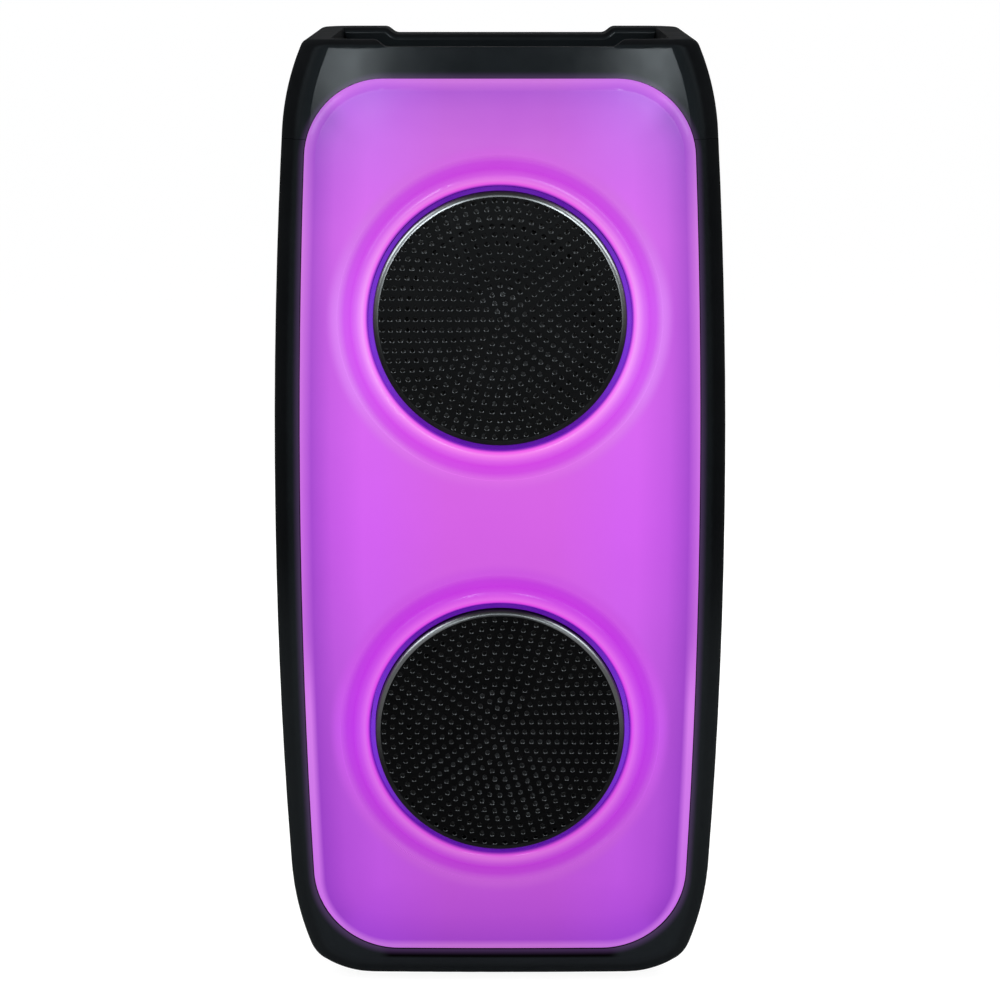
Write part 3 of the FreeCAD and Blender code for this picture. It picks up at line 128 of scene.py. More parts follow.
world = bpy.data.worlds.new("pale_room")
bpy.context.scene.world = world
world.use_nodes = True
room = world.node_tree
room_light = room.nodes["Background"]
room_light.inputs["Color"].default_value = (0.95, 0.97, 1.0, 1)
room_light.inputs["Strength"].default_value = ROOM_LIGHT
room_seen = room.nodes.new("ShaderNodeBackground")
room_seen.inputs["Color"].default_value = (1, 1, 1, 1)
room_seen.inputs["Strength"].default_value = 1.0
room_mix = room.nodes.new("ShaderNodeMixShader")
room.links.new(seen_share(room), room_mix.inputs[0])
room.links.new(room_light.outputs[0], room_mix.inputs[1])
room.links.new(room_seen.outputs[0], room_mix.inputs[2])
room.links.new(room_mix.outputs[0], room.nodes["World Output"].inputs["Surface"])

bpy.ops.mesh.primitive_plane_add(size=120, location=(0, 0, 0))
floor = bpy.context.object
floor.name = "studio_floor"
floor_paint = bpy.data.materials.new("pale_floor")
floor_paint.use_nodes = True
floor_tree = floor_paint.node_tree
floor_shader = floor_tree.nodes["Principled BSDF"]
floor_shader.inputs["Base Color"].default_value = (0.88, 0.88, 0.88, 1)
floor_shader.inputs["Roughness"].default_value = 0.7
floor_glow = floor_tree.nodes.new("ShaderNodeEmission")
floor_glow.inputs["Color"].default_value = (1, 1, 1, 1)
floor_glow.inputs["Strength"].default_value = FLOOR_GLOW
floor_share = floor_tree.nodes.new("ShaderNodeMath")
floor_share.operation = "MULTIPLY"
floor_share.inputs[1].default_value = FLOOR_GLOW_SHARE
floor_mix = floor_tree.nodes.new("ShaderNodeMixShader")
floor_tree.links.new(seen_share(floor_tree), floor_share.inputs[0])
floor_tree.links.new(floor_share.outputs[0], floor_mix.inputs[0])
floor_tree.links.new(floor_shader.outputs[0], floor_mix.inputs[1])
floor_tree.links.new(floor_glow.outputs[0], floor_mix.inputs[2])
floor_tree.links.new(floor_mix.outputs[0], floor_tree.nodes["Material Output"].inputs["Surface"])
floor.data.materials.append(floor_paint)

camera_place = (0.0, -2.3635, 0.7348)
camera_aim = (0.0, 0.0, 0.318)
bpy.ops.object.camera_add(location=camera_place, rotation=aimed_at(camera_aim, camera_place))
camera = bpy.context.object
camera.data.lens = 122.4
camera.data.sensor_width = 36
camera.data.clip_end = 200
bpy.context.scene.camera = camera
bpy.context.scene.view_settings.view_transform = "Standard"


# ---------------------------------------------------------------- cabinet shells
# Front frame, top housing, carry handle and deep rear box: black ABS mouldings with a fine spark
# finish, clipped and screwed together. They are satin in front and duller at the sides and behind.
# Painted light makes them paler low down, a painted shadow blackens a band under the panel, and a
# painted violet glow beside the panel stands in for the panel's light falling on them.

def start_material(name):
    """A new material with its node tree and its shader."""
    material = bpy.data.materials.new(name)
    material.use_nodes = True
    return material, material.node_tree, material.node_tree.nodes["Principled BSDF"]


def noise(tree, scale, detail=3.0, roughness=0.5, stretch=None):
    """Noise on the piece's own coordinates, in metres; stretch draws it out along an axis."""
    place = tree.nodes.new("ShaderNodeTexCoord").outputs["Object"]
    if stretch:
        mapping = tree.nodes.new("ShaderNodeMapping")
        mapping.inputs["Scale"].default_value = stretch
        tree.links.new(place, mapping.inputs["Vector"])
        place = mapping.outputs["Vector"]
    texture = tree.nodes.new("ShaderNodeTexNoise")
    texture.inputs["Scale"].default_value = scale
    texture.inputs["Detail"].default_value = detail
    texture.inputs["Roughness"].default_value = roughness
    tree.links.new(place, texture.inputs["Vector"])
    return texture.outputs["Fac"]


def ramp(tree, value, stops):
    """Colour ramp with (position, colour) stops."""
    node = tree.nodes.new("ShaderNodeValToRGB")
    band = node.color_ramp
    while len(band.elements) < len(stops):
        band.elements.new(0.5)
    for element, (position, colour) in zip(band.elements, stops):
        element.position = position
        element.color = (*colour, 1)
    tree.links.new(value, node.inputs["Fac"])
    return node.outputs["Color"]


def spread(tree, value, low, high, from_low=0.3, from_high=0.7):
    """Maps the middle of a noise to a range of values."""
    node = tree.nodes.new("ShaderNodeMapRange")
    node.inputs["From Min"].default_value = from_low
    node.inputs["From Max"].default_value = from_high
    node.inputs["To Min"].default_value = low
    node.inputs["To Max"].default_value = high
    tree.links.new(value, node.inputs["Value"])
    return node.outputs["Result"]


def grained(name, dark, light, patch, rough, grain, depth, stretch=None, gloss=0.5, metal=0.0):
    """A surface with mottled colour, uneven roughness and a fine grain. Sizes of patch and grain are
    per metre, depth is the grain's height in metres, and gloss is the shader's specular level."""
    material, tree, shader = start_material(name)
    shader.inputs["Specular IOR Level"].default_value = gloss
    shader.inputs["Metallic"].default_value = metal
    tree.links.new(ramp(tree, noise(tree, patch, stretch=stretch), [(0.3, dark), (0.7, light)]),
                   shader.inputs["Base Color"])
    tree.links.new(spread(tree, noise(tree, patch * 5, stretch=stretch), *rough), shader.inputs["Roughness"])
    bump = tree.nodes.new("ShaderNodeBump")
    bump.inputs["Strength"].default_value = 1.0
    bump.inputs["Distance"].default_value = depth
    tree.links.new(noise(tree, grain, 2.0, stretch=stretch), bump.inputs["Height"])
    tree.links.new(bump.outputs["Normal"], shader.inputs["Normal"])
    return material


def opened(material):
    """A material's node tree and its shader."""
    return material.node_tree, material.node_tree.nodes["Principled BSDF"]


def feed(socket):
    """The output that is linked to a socket."""
    return socket.links[0].from_socket


def give(material, *names):
    """Puts a material on CAD nodes."""
    for name in names:
        piece = nodes_of[name]
        piece.data.materials.clear()
        piece.data.materials.append(material)


def compute(tree, operation, *values):
    """One step of arithmetic on node outputs and plain numbers."""
    node = tree.nodes.new("ShaderNodeMath")
    node.operation = operation
    for socket, value in zip(node.inputs, values):
        if isinstance(value, (int, float)):
            socket.default_value = value
        else:
            tree.links.new(value, socket)
    return node.outputs[0]


def blend_colours(tree, share, first, second, way="MIX"):
    """Mixes or multiplies two colours, each a node output or three numbers."""
    node = tree.nodes.new("ShaderNodeMix")
    node.data_type = "RGBA"
    node.blend_type = way
    for socket, value in ((node.inputs[0], share), (node.inputs[6], first), (node.inputs[7], second)):
        if isinstance(value, (int, float)):
            socket.default_value = value
        elif isinstance(value, tuple):
            socket.default_value = (*value, 1)
        else:
            tree.links.new(value, socket)
    return node.outputs[2]


def ease(tree, value, start, end, low=0.0, high=1.0):
    """Smooth step from low to high as a value goes from start to end."""
    node = tree.nodes.new("ShaderNodeMapRange")
    node.interpolation_type = "SMOOTHSTEP"
    for socket, number in zip(node.inputs[1:5], (start, end, low, high)):
        socket.default_value = number
    tree.links.new(value, node.inputs["Value"])
    return node.outputs["Result"]


def millimetres(tree):
    """Place on the piece in millimetres: the vector, then across, depth and height."""
    mapping = tree.nodes.new("ShaderNodeMapping")
    mapping.inputs["Scale"].default_value = (1000, 1000, 1000)
    tree.links.new(tree.nodes.new("ShaderNodeTexCoord").outputs["Object"], mapping.inputs["Vector"])
    parts = tree.nodes.new("ShaderNodeSeparateXYZ")
    tree.links.new(mapping.outputs["Vector"], parts.inputs[0])
    return (mapping.outputs["Vector"], *parts.outputs)


def facing(tree):
    """The three parts of the direction that the surface faces."""
    parts = tree.nodes.new("ShaderNodeSeparateXYZ")
    tree.links.new(tree.nodes.new("ShaderNodeTexCoord").outputs["Normal"], parts.inputs[0])
    return parts.outputs


PANEL_TOP, PANEL_BOTTOM, PANEL_CORNER = 619.5, 27.1, 52.0
PANEL_WAIST, PANEL_HALF_WIDTH, PANEL_BULGE = 349.6, 133.2, 11400.0


def inside_panel(tree, across, height):
    """Millimetres inwards from the light panel's outline, whose sides bulge: from the nearest edge or
    rounded corner, from the side and from the end. They are below 0 on the shell outside."""
    off_waist = compute(tree, "POWER", compute(tree, "SUBTRACT", height, PANEL_WAIST), 2.0)
    half_width = compute(tree, "SUBTRACT", PANEL_HALF_WIDTH, compute(tree, "DIVIDE", off_waist, PANEL_BULGE))
    from_side = compute(tree, "SUBTRACT", half_width, compute(tree, "ABSOLUTE", across))
    from_end = compute(tree, "MINIMUM", compute(tree, "SUBTRACT", PANEL_TOP, height),
                       compute(tree, "SUBTRACT", height, PANEL_BOTTOM))
    squares = []
    for gap in (from_side, from_end):
        past_centre = compute(tree, "MAXIMUM", compute(tree, "SUBTRACT", PANEL_CORNER, gap), 0.0)
        squares.append(compute(tree, "POWER", past_centre, 2.0))
    inset = compute(tree, "SUBTRACT", PANEL_CORNER, compute(tree, "SQRT", compute(tree, "ADD", *squares)))
    return inset, from_side, from_end


# Heights and colour of the painted light that makes the shell paler low down.
PAINTED_LIGHT_HEIGHTS = (330, 190)
PAINTED_LIGHT_BLACK, SHADOW_BLACK = (0.0105, 0.0125, 0.0135), (0.0005, 0.0005, 0.0005)
SHADOW_LOW, SHADOW_HIGH, SHADOW_SIDE, SHADOW_DEPTH = (19.5, 21.5), (40, 30), (84, 74), (-60, -80)
# Reach, depth and colour of the painted violet glow on the shell beside the panel.
SPILL_REACH, SPILL_DEPTH = (-5.5, 0.5), (-85, -100)
SPILL_VIOLET = (0.052, 0.024, 0.080)
TURNED_FORWARD = (0.80, 0.97)

shell_black = grained("satin_black_shell", (0.0012, 0.0014, 0.0017), (0.0020, 0.0023, 0.0027), 14,
                      (0.14, 0.18), 1500, 0.000006, gloss=0.01)
shell_tree, shell_shader = opened(shell_black)
shell_across, shell_depth, shell_height = millimetres(shell_tree)[1:]
shell_forward = facing(shell_tree)["Y"]
shell_front = ease(shell_tree, compute(shell_tree, "MULTIPLY", shell_forward, -1.0), *TURNED_FORWARD)
shell_broad = ease(shell_tree, compute(shell_tree, "ABSOLUTE", shell_forward), *TURNED_FORWARD)
shell_gloss = shell_tree.nodes.new("ShaderNodeMix")
shell_tree.links.new(shell_front, shell_gloss.inputs[0])
shell_tree.links.new(spread(shell_tree, noise(shell_tree, 60), 0.78, 0.90), shell_gloss.inputs[2])
shell_tree.links.new(feed(shell_shader.inputs["Roughness"]), shell_gloss.inputs[3])
shell_tree.links.new(shell_gloss.outputs[0], shell_shader.inputs["Roughness"])
front_paint = ramp(shell_tree, noise(shell_tree, 14), [
    (0.3, (0.0049, 0.0063, 0.0073)), (0.7, (0.0065, 0.0084, 0.0096))])
shell_paint = blend_colours(shell_tree, shell_broad, feed(shell_shader.inputs["Base Color"]), front_paint)
# Painted light: the shell turns paler from 330 mm down to 190 mm and below.
painted_light_low = ease(shell_tree, shell_height, *PAINTED_LIGHT_HEIGHTS, 0.0, 0.5)
shell_paint = blend_colours(shell_tree, painted_light_low, shell_paint, PAINTED_LIGHT_BLACK)
# Painted shadow: the shell goes black in a band under the light panel's bottom edge, at the front.
shadow_height = compute(shell_tree, "MULTIPLY", ease(shell_tree, shell_height, *SHADOW_LOW),
                        ease(shell_tree, shell_height, *SHADOW_HIGH))
shadow_width = ease(shell_tree, compute(shell_tree, "ABSOLUTE", shell_across), *SHADOW_SIDE)
painted_shadow_under_panel = compute(shell_tree, "MULTIPLY", compute(shell_tree, "MULTIPLY", shadow_height, shadow_width),
                      ease(shell_tree, shell_depth, *SHADOW_DEPTH))
shell_paint = blend_colours(shell_tree, painted_shadow_under_panel, shell_paint, SHADOW_BLACK)
shell_tree.links.new(shell_paint, shell_shader.inputs["Base Color"])
# Painted light: the shell glows violet just outside the panel's edge at the front, standing in for the
# panel's light falling on it.
beside_panel = ease(shell_tree, inside_panel(shell_tree, shell_across, shell_height)[0], *SPILL_REACH)
painted_violet_spill = compute(shell_tree, "MULTIPLY", compute(shell_tree, "MULTIPLY", shell_front, beside_panel),
                ease(shell_tree, shell_depth, *SPILL_DEPTH))
shell_tree.links.new(blend_colours(shell_tree, painted_violet_spill, (0.0, 0.0, 0.0), SPILL_VIOLET),
                     shell_shader.inputs["Emission Color"])
shell_shader.inputs["Emission Strength"].default_value = 1.0
give(shell_black, "front_frame", "top_housing", "rear_cabinet", "carry_handle")


# ---------------------------------------------------------------- light panel
# One crowned pan of milky, glossy acrylic with a rolled edge, lit from behind, bluer at the sides. The
# light dims towards the rim and shows again in its lip, where a painted reflection of the lamps adds
# a pale band, widest on the lower sides. A bead, a valley and a step ring each driver's opening; the
# glow over them has painted shade in the valley and in the gap at the opening. A dark mask on the
# pan's back and behind its rim keeps the light in.

FRONT = cad_box[0][1] * 1000 + 2.07
CROWN, CROWN_HEIGHT, SPACING = 2600.0, 324.1, 278.6
TILT = math.asin(SPACING / 2 / CROWN)


def driver_radius(tree, place, side):
    """Distance from a driver's tilted axis."""
    outward = Vector((0, -math.cos(TILT), side * math.sin(TILT)))
    centre = Vector((0, FRONT + CROWN, CROWN_HEIGHT)) + outward * CROWN
    shift = tree.nodes.new("ShaderNodeVectorMath")
    shift.operation = "SUBTRACT"
    shift.inputs[1].default_value = centre
    cross = tree.nodes.new("ShaderNodeVectorMath")
    cross.operation = "CROSS_PRODUCT"
    cross.inputs[1].default_value = outward
    length = tree.nodes.new("ShaderNodeVectorMath")
    length.operation = "LENGTH"
    tree.links.new(place, shift.inputs[0])
    tree.links.new(shift.outputs["Vector"], cross.inputs[0])
    tree.links.new(cross.outputs["Vector"], length.inputs[0])
    return length.outputs["Value"]


def screen(red, green, blue):
    """Linear colour of a shade given in the usual 0 to 255 steps."""
    shares = [step / 255 for step in (red, green, blue)]
    return tuple(((share + 0.055) / 1.055) ** 2.4 if share > 0.04 else share / 12.92 for share in shares)


def glow_ramp(tree, value, stops):
    """Ramp over a length in millimetres, whose stops are the glow there as shares of 2."""
    low, high = stops[0][0], stops[-1][0]
    share = compute(tree, "DIVIDE", compute(tree, "SUBTRACT", value, low), high - low)
    return ramp(tree, share, [
        ((at - low) / (high - low), tuple(part / 2 for part in glow)) for at, glow in stops])


def rim_glow_and_painted_reflection(tree, inwards, lip, lip_width, valley, fade):
    """Glow over the rim: the pale lip, partly its own glow and partly a painted reflection of the lamps,
    the dim valley inside it and the fade to full glow.
    """
    shoulder = tuple(0.6 + 0.4 * part for part in valley)
    return glow_ramp(tree, inwards, [
        (0, lip), (lip_width, lip), (RIM_VALLEY, valley), (fade / 2, shoulder), (fade, (1, 1, 1))])


RIM_VALLEY = 8
SIDE_CHANGE, END_CHANGE, CORNER_BLEND, DISH_BLEND = (190, 260), (250, 400), (-12, 12), (116, 108)
FOOT, LOWER_DRIVER, WAIST, UPPER_DRIVER, CREST = 50, 185, 325, 515, 615
BEAD_GAP, BEAD_FOOT, BEAD_CREST, BEAD_BACK = 87.5, 89, 91, 95
VALLEY_START, VALLEY_END, STEP, STEP_FOOT = 99, 103, 107, 114
WALL_WIDTH, WALL_DEPTH = (4, 2), (8, 11)
GLOW_STRENGTH = 3.65

panel_lit, panel_tree, panel_shader = start_material("lit_panel")
place, across, depth, height = millimetres(panel_tree)
from_edge, from_side, from_end = inside_panel(panel_tree, across, height)
glow = ramp(panel_tree, compute(panel_tree, "DIVIDE", height, CREST), [
    (FOOT / CREST, screen(187, 83, 218)), (LOWER_DRIVER / CREST, screen(197, 93, 222)),
    (WAIST / CREST, screen(215, 99, 238)), (UPPER_DRIVER / CREST, screen(224, 114, 239)),
    (1.0, screen(188, 101, 223))])
cool_sides = glow_ramp(panel_tree, compute(panel_tree, "ABSOLUTE", across), [
    (35, (1, 1, 0.92)), (80, (1, 1, 1.05))])
# The lips' pale bands are partly a painted reflection of the lamps, widest on the lower sides and at the
# bottom.
rim_high = rim_glow_and_painted_reflection(panel_tree, from_edge, (0.92, 1.3, 0.9), 0.5, (0.55, 0.53, 0.7), 42)
rim_low = rim_glow_and_painted_reflection(panel_tree, from_edge, (1.2, 1.95, 1.1), 4, (0.6, 0.52, 0.75), 46)
rim_top = rim_glow_and_painted_reflection(panel_tree, from_edge, (1.25, 1.5, 1.1), 1, (0.83, 0.79, 0.94), 40)
rim_bottom = rim_glow_and_painted_reflection(panel_tree, from_edge, (1.1, 1.9, 1.0), 4, (0.7, 0.64, 0.86), 54)
rim_side = blend_colours(panel_tree, ease(panel_tree, height, *SIDE_CHANGE), rim_low, rim_high)
rim_end = blend_colours(panel_tree, ease(panel_tree, height, *END_CHANGE), rim_bottom, rim_top)
nearer_end = ease(panel_tree, compute(panel_tree, "SUBTRACT", from_side, from_end), *CORNER_BLEND)
rim = blend_colours(panel_tree, nearer_end, rim_side, rim_end)
panel_glow = blend_colours(panel_tree, 1.0, blend_colours(panel_tree, 1.0, glow, cool_sides, "MULTIPLY"),
                           rim, "MULTIPLY")

dish_tints = (
    (1, [(-1, (1.02, 0.66, 0.88)), (-0.45, (1.04, 1.0, 1.02)), (0.1, (1.02, 1.0, 1.02)),
         (1, (0.9, 0.58, 0.82))]),
    (-1, [(-1, (0.77, 0.49, 0.72)), (0, (0.82, 0.44, 0.92)), (1, (0.88, 0.42, 0.84))]))
for side, tints in dish_tints:
    radius = driver_radius(panel_tree, place, side)
    # Painted shade: the glow darkens in the gap at the opening's wall and in the valley round the bead.
    dish = glow_ramp(panel_tree, radius, [
        (BEAD_GAP, screen(112, 30, 190)), (BEAD_FOOT, screen(248, 118, 254)),
        (BEAD_CREST, screen(245, 160, 255)), (BEAD_BACK, screen(222, 117, 247)),
        (VALLEY_START, screen(211, 86, 242)), (VALLEY_END, screen(210, 94, 241)),
        (STEP, screen(220, 133, 245)), (STEP_FOOT, screen(215, 130, 242))])
    above_driver = compute(panel_tree, "SUBTRACT", height, CROWN_HEIGHT + side * SPACING / 2)
    upwards = compute(panel_tree, "DIVIDE", above_driver, radius)
    dish = blend_colours(panel_tree, 1.0, dish, glow_ramp(panel_tree, upwards, tints), "MULTIPLY")
    panel_glow = blend_colours(panel_tree, ease(panel_tree, radius, *DISH_BLEND), panel_glow, dish)
panel_glow = blend_colours(panel_tree, spread(panel_tree, noise(panel_tree, 7, 2.0), 0.0, 0.04),
                           panel_glow, (0.11, 0.01, 0.19))
off_axis = compute(panel_tree, "ADD", compute(panel_tree, "POWER", across, 2.0), compute(
    panel_tree, "POWER", compute(panel_tree, "SUBTRACT", height, CROWN_HEIGHT), 2.0))
behind_front = compute(panel_tree, "SUBTRACT", compute(panel_tree, "SUBTRACT", depth, FRONT),
                       compute(panel_tree, "DIVIDE", off_axis, 2 * CROWN))
masked_wall = compute(panel_tree, "MULTIPLY", ease(panel_tree, from_edge, *WALL_WIDTH),
                      ease(panel_tree, behind_front, *WALL_DEPTH))
masked_back = compute(panel_tree, "MAXIMUM", masked_wall, ease(panel_tree, facing(panel_tree)["Y"], 0.2, 0.6))
panel_glow = blend_colours(panel_tree, masked_back, panel_glow, (0.0, 0.0, 0.0))
panel_tree.links.new(panel_glow, panel_shader.inputs["Emission Color"])
panel_shader.inputs["Emission Strength"].default_value = GLOW_STRENGTH
panel_body = ramp(panel_tree, noise(panel_tree, 30), [
    (0.3, (0.030, 0.006, 0.042)), (0.7, (0.036, 0.008, 0.050))])
panel_tree.links.new(blend_colours(panel_tree, masked_back, panel_body, (0.003, 0.003, 0.004)),
                     panel_shader.inputs["Base Color"])
panel_tree.links.new(spread(panel_tree, noise(panel_tree, 25), 0.16, 0.24), panel_shader.inputs["Roughness"])
panel_shader.inputs["Specular IOR Level"].default_value = 0.02
panel_bump = panel_tree.nodes.new("ShaderNodeBump")
panel_bump.inputs["Distance"].default_value = 0.00002
panel_tree.links.new(noise(panel_tree, 60, 1.0), panel_bump.inputs["Height"])
panel_tree.links.new(panel_bump.outputs["Normal"], panel_shader.inputs["Normal"])
give(panel_lit, "light_panel")


# ---------------------------------------------------------------- light rings
# Clear acrylic rings that carry violet light round each grille, pressed into the gap between the
# grille and the panel. They glow bluer towards the sides, where the strips sit.

LIGHT_RING_RADIUS = 87.0

ring_lit, ring_tree, ring_shader = start_material("violet_light_guide")
ring_across = millimetres(ring_tree)[1]
ring_side = compute(ring_tree, "DIVIDE", compute(ring_tree, "ABSOLUTE", ring_across), LIGHT_RING_RADIUS)
ring_tree.links.new(ramp(ring_tree, ring_side, [(0.6, screen(62, 0, 135)), (1.0, screen(106, 46, 195))]),
                    ring_shader.inputs["Emission Color"])
ring_shader.inputs["Emission Strength"].default_value = 1.0
ring_body = ramp(ring_tree, noise(ring_tree, 60), [(0.3, (0.05, 0.005, 0.10)), (0.7, (0.07, 0.01, 0.13))])
ring_tree.links.new(ring_body, ring_shader.inputs["Base Color"])
ring_tree.links.new(spread(ring_tree, noise(ring_tree, 90), 0.15, 0.25), ring_shader.inputs["Roughness"])
ring_shader.inputs["Specular IOR Level"].default_value = 0.05
give(ring_lit, "upper_light_ring", "lower_light_ring")


# ---------------------------------------------------------------- grilles
# Pressed steel discs with a rolled edge, powder coated black, and punched with rings of small
# round holes. Each hooks into the collar round its driver. The lower one is fitted half a turn round.

def choose(kind, wanted):
    """In edit mode, selects the vertices, edges or faces that pass a test, and nothing else."""
    bpy.ops.mesh.select_mode(type={"verts": "VERT", "edges": "EDGE", "faces": "FACE"}[kind])
    bpy.ops.mesh.select_all(action="DESELECT")
    mesh = bmesh.from_edit_mesh(bpy.context.edit_object.data)
    for item in getattr(mesh, kind):
        if wanted(item):
            item.select_set(True)
    mesh.select_flush_mode()
    bmesh.update_edit_mesh(bpy.context.edit_object.data)


def apply_modifiers(piece):
    """Applies all of a piece's modifiers, in their order."""
    bpy.context.view_layer.objects.active = piece
    for modifier in list(piece.modifiers):
        bpy.ops.object.modifier_apply(modifier=modifier.name)


def at_driver(piece, side, turn=0.0):
    """Moves a piece made round the Z axis, its front towards +Z, to a driver's place on the crown."""
    outward = Vector((0, -math.cos(TILT), side * math.sin(TILT)))
    centre = Vector((0, FRONT + CROWN, CROWN_HEIGHT)) / 1000 + outward * CROWN / 1000
    tilt = Matrix.Rotation(math.radians(90) - side * TILT, 4, "X")
    piece.data.transform(Matrix.Translation(centre) @ tilt @ Matrix.Rotation(turn, 4, "Z"))
    piece.data.update()


GRILLE_RADIUS = 0.0838
GRILLE_FACE = 0.0015
GRILLE_SEAT = -0.014
SHEET = 0.0012
EDGE_ROUNDING = 0.0035
HOLE_RADIUS = 0.0016
HOLE_LIP = 0.00022
RING_STEP = 0.00557
HOLE_RINGS = 14
RING_GROWTH = 5
HOLE_SIDES = 10
FLAT_RADIUS = GRILLE_RADIUS - EDGE_ROUNDING - 0.0003
NEAR = 1e-6

bpy.ops.object.select_all(action="DESELECT")
bpy.ops.mesh.primitive_cylinder_add(vertices=180, radius=GRILLE_RADIUS, depth=GRILLE_FACE - GRILLE_SEAT,
                                    location=(0, 0, (GRILLE_FACE + GRILLE_SEAT) / 2))
disc = bpy.context.object
bpy.ops.object.transform_apply(location=True)
bpy.ops.object.mode_set(mode="EDIT")
choose("faces", lambda face: face.normal.z < -0.5)
bpy.ops.mesh.delete(type="FACE")
choose("edges", lambda edge: all(vertex.co.z > GRILLE_FACE - NEAR for vertex in edge.verts))
bpy.ops.mesh.bevel(offset=EDGE_ROUNDING, segments=7, profile=0.5, affect="EDGES")
bpy.ops.object.mode_set(mode="OBJECT")
wall = disc.modifiers.new("sheet", "SOLIDIFY")
wall.thickness = SHEET
wall.offset = -1
apply_modifiers(disc)

bpy.ops.object.select_all(action="DESELECT")
bpy.ops.mesh.primitive_cylinder_add(vertices=HOLE_SIDES, radius=HOLE_RADIUS, depth=4 * SHEET,
                                    location=(0, 0, GRILLE_FACE))
punches = bpy.context.object
bpy.ops.object.transform_apply(location=True)
bpy.ops.object.mode_set(mode="EDIT")
for ring in range(1, HOLE_RINGS + 1):
    radius = ring * RING_STEP
    count = ring * RING_GROWTH
    bpy.ops.mesh.select_all(action="DESELECT")
    bpy.ops.mesh.primitive_cylinder_add(vertices=HOLE_SIDES, radius=HOLE_RADIUS, depth=4 * SHEET,
                                        location=(-radius, 0, GRILLE_FACE))
    bpy.ops.mesh.spin(steps=count - 1, dupli=True, angle=2 * math.pi * (count - 1) / count,
                      center=(0, 0, 0), axis=(0, 0, 1))
bpy.ops.object.mode_set(mode="OBJECT")
punching = disc.modifiers.new("holes", "BOOLEAN")
punching.operation = "DIFFERENCE"
punching.solver = "EXACT"
punching.object = punches
apply_modifiers(disc)
bpy.data.objects.remove(punches)

bpy.ops.object.select_all(action="DESELECT")
disc.select_set(True)
bpy.ops.object.mode_set(mode="EDIT")
choose("edges", lambda edge: all(abs(vertex.co.z - GRILLE_FACE) < NEAR and vertex.co.xy.length < FLAT_RADIUS
                                 for vertex in edge.verts))
bpy.ops.mesh.bevel(offset=HOLE_LIP, segments=1, affect="EDGES")
bpy.ops.object.mode_set(mode="OBJECT")

EDGE_FADE, EDGE_SIDES, EDGE_COLLAR = (-30, 32), (12, 50), (79.5, 79.9)

grille_black = grained("black_steel_grille", (0.0007, 0.0007, 0.0008), (0.0014, 0.0014, 0.0015), 40,
                       (0.40, 0.50), 1800, 0.000012, gloss=0.015)
edge_black = grained("rolled_edge_black", (0.0040, 0.0042, 0.0046), (0.0060, 0.0063, 0.0068), 40,
                     (0.38, 0.46), 1800, 0.000006, gloss=0.02)
edge_tree, edge_shader = opened(edge_black)
edge_place, edge_across, _, edge_height = millimetres(edge_tree)
edge_radius = compute(edge_tree, "MINIMUM", driver_radius(edge_tree, edge_place, 1),
                      driver_radius(edge_tree, edge_place, -1))
above_middle = compute(edge_tree, "SUBTRACT", edge_height, CROWN_HEIGHT)
above_driver = compute(edge_tree, "SUBTRACT", above_middle, compute(
    edge_tree, "MULTIPLY", compute(edge_tree, "SIGN", above_middle), SPACING / 2))
rim_polish = compute(edge_tree, "MULTIPLY", ease(edge_tree, above_driver, *EDGE_FADE, 0.03, 1.0), ease(
    edge_tree, compute(edge_tree, "ABSOLUTE", edge_across), *EDGE_SIDES, 0.14, 0.70))
lip_polish = compute(edge_tree, "MULTIPLY", ease(edge_tree, edge_radius, *EDGE_COLLAR, 1.0, 0.0),
                     ease(edge_tree, facing(edge_tree)["Z"], 0.1, 0.6, 0.0, 0.30))
polish = compute(edge_tree, "ADD", lip_polish, compute(
    edge_tree, "MULTIPLY", rim_polish, ease(edge_tree, edge_radius, *EDGE_COLLAR)))
edge_tree.links.new(polish, edge_shader.inputs["Coat Weight"])
edge_shader.inputs["Coat IOR"].default_value = 1.8
edge_shader.inputs["Coat Roughness"].default_value = 0.33
disc.data.materials.append(grille_black)
disc.data.materials.append(edge_black)
for name, side, turn in (("upper", 1, 0.0), ("lower", -1, math.pi)):
    grille = disc.copy()
    grille.data = disc.data.copy()
    grille.name = f"{name}_punched_grille"
    for face in grille.data.polygons:
        flat_sheet = abs(face.normal.z) > 0.995
        face.material_index = 0 if flat_sheet or face.center.z < GRILLE_FACE - EDGE_ROUNDING else 1
    bpy.context.collection.objects.link(grille)
    at_driver(grille, side, turn)
    bpy.ops.object.select_all(action="DESELECT")
    grille.select_set(True)
    bpy.context.view_layer.objects.active = grille
    bpy.ops.object.shade_smooth_by_angle(angle=math.radians(35))
    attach(grille, "cabinet")
    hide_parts(f"{name}_grille")
bpy.data.objects.remove(disc)


# ---------------------------------------------------------------- woofers
# Two 165 mm drivers behind the grilles: stamped steel baskets, rubber surrounds, coated paper cones
# with a cap, copper coils on a former, and ferrite magnets between plated steel.

basket_black = grained("basket_enamel", (0.012, 0.012, 0.013), (0.02, 0.02, 0.021), 30, (0.3, 0.45), 900,
                       0.00005)
surround_rubber = grained("surround_rubber", (0.012, 0.012, 0.012), (0.02, 0.02, 0.02), 50, (0.5, 0.65),
                          700, 0.00006)
cone_paper = grained("cone_paper", (0.010, 0.010, 0.011), (0.022, 0.022, 0.024), 160, (0.6, 0.8), 420,
                     0.00012)
cap_paper = grained("cap_paper", (0.012, 0.012, 0.013), (0.02, 0.02, 0.022), 120, (0.35, 0.5), 300, 0.00008)
spider_cloth = grained("spider_cloth", (0.30, 0.20, 0.08), (0.38, 0.27, 0.12), 220, (0.7, 0.9), 900, 0.0001)
coil_copper = grained("copper_winding", (0.45, 0.16, 0.06), (0.62, 0.26, 0.10), 60, (0.25, 0.4), 900, 0.00005,
                      stretch=(1, 4, 1), metal=1.0)
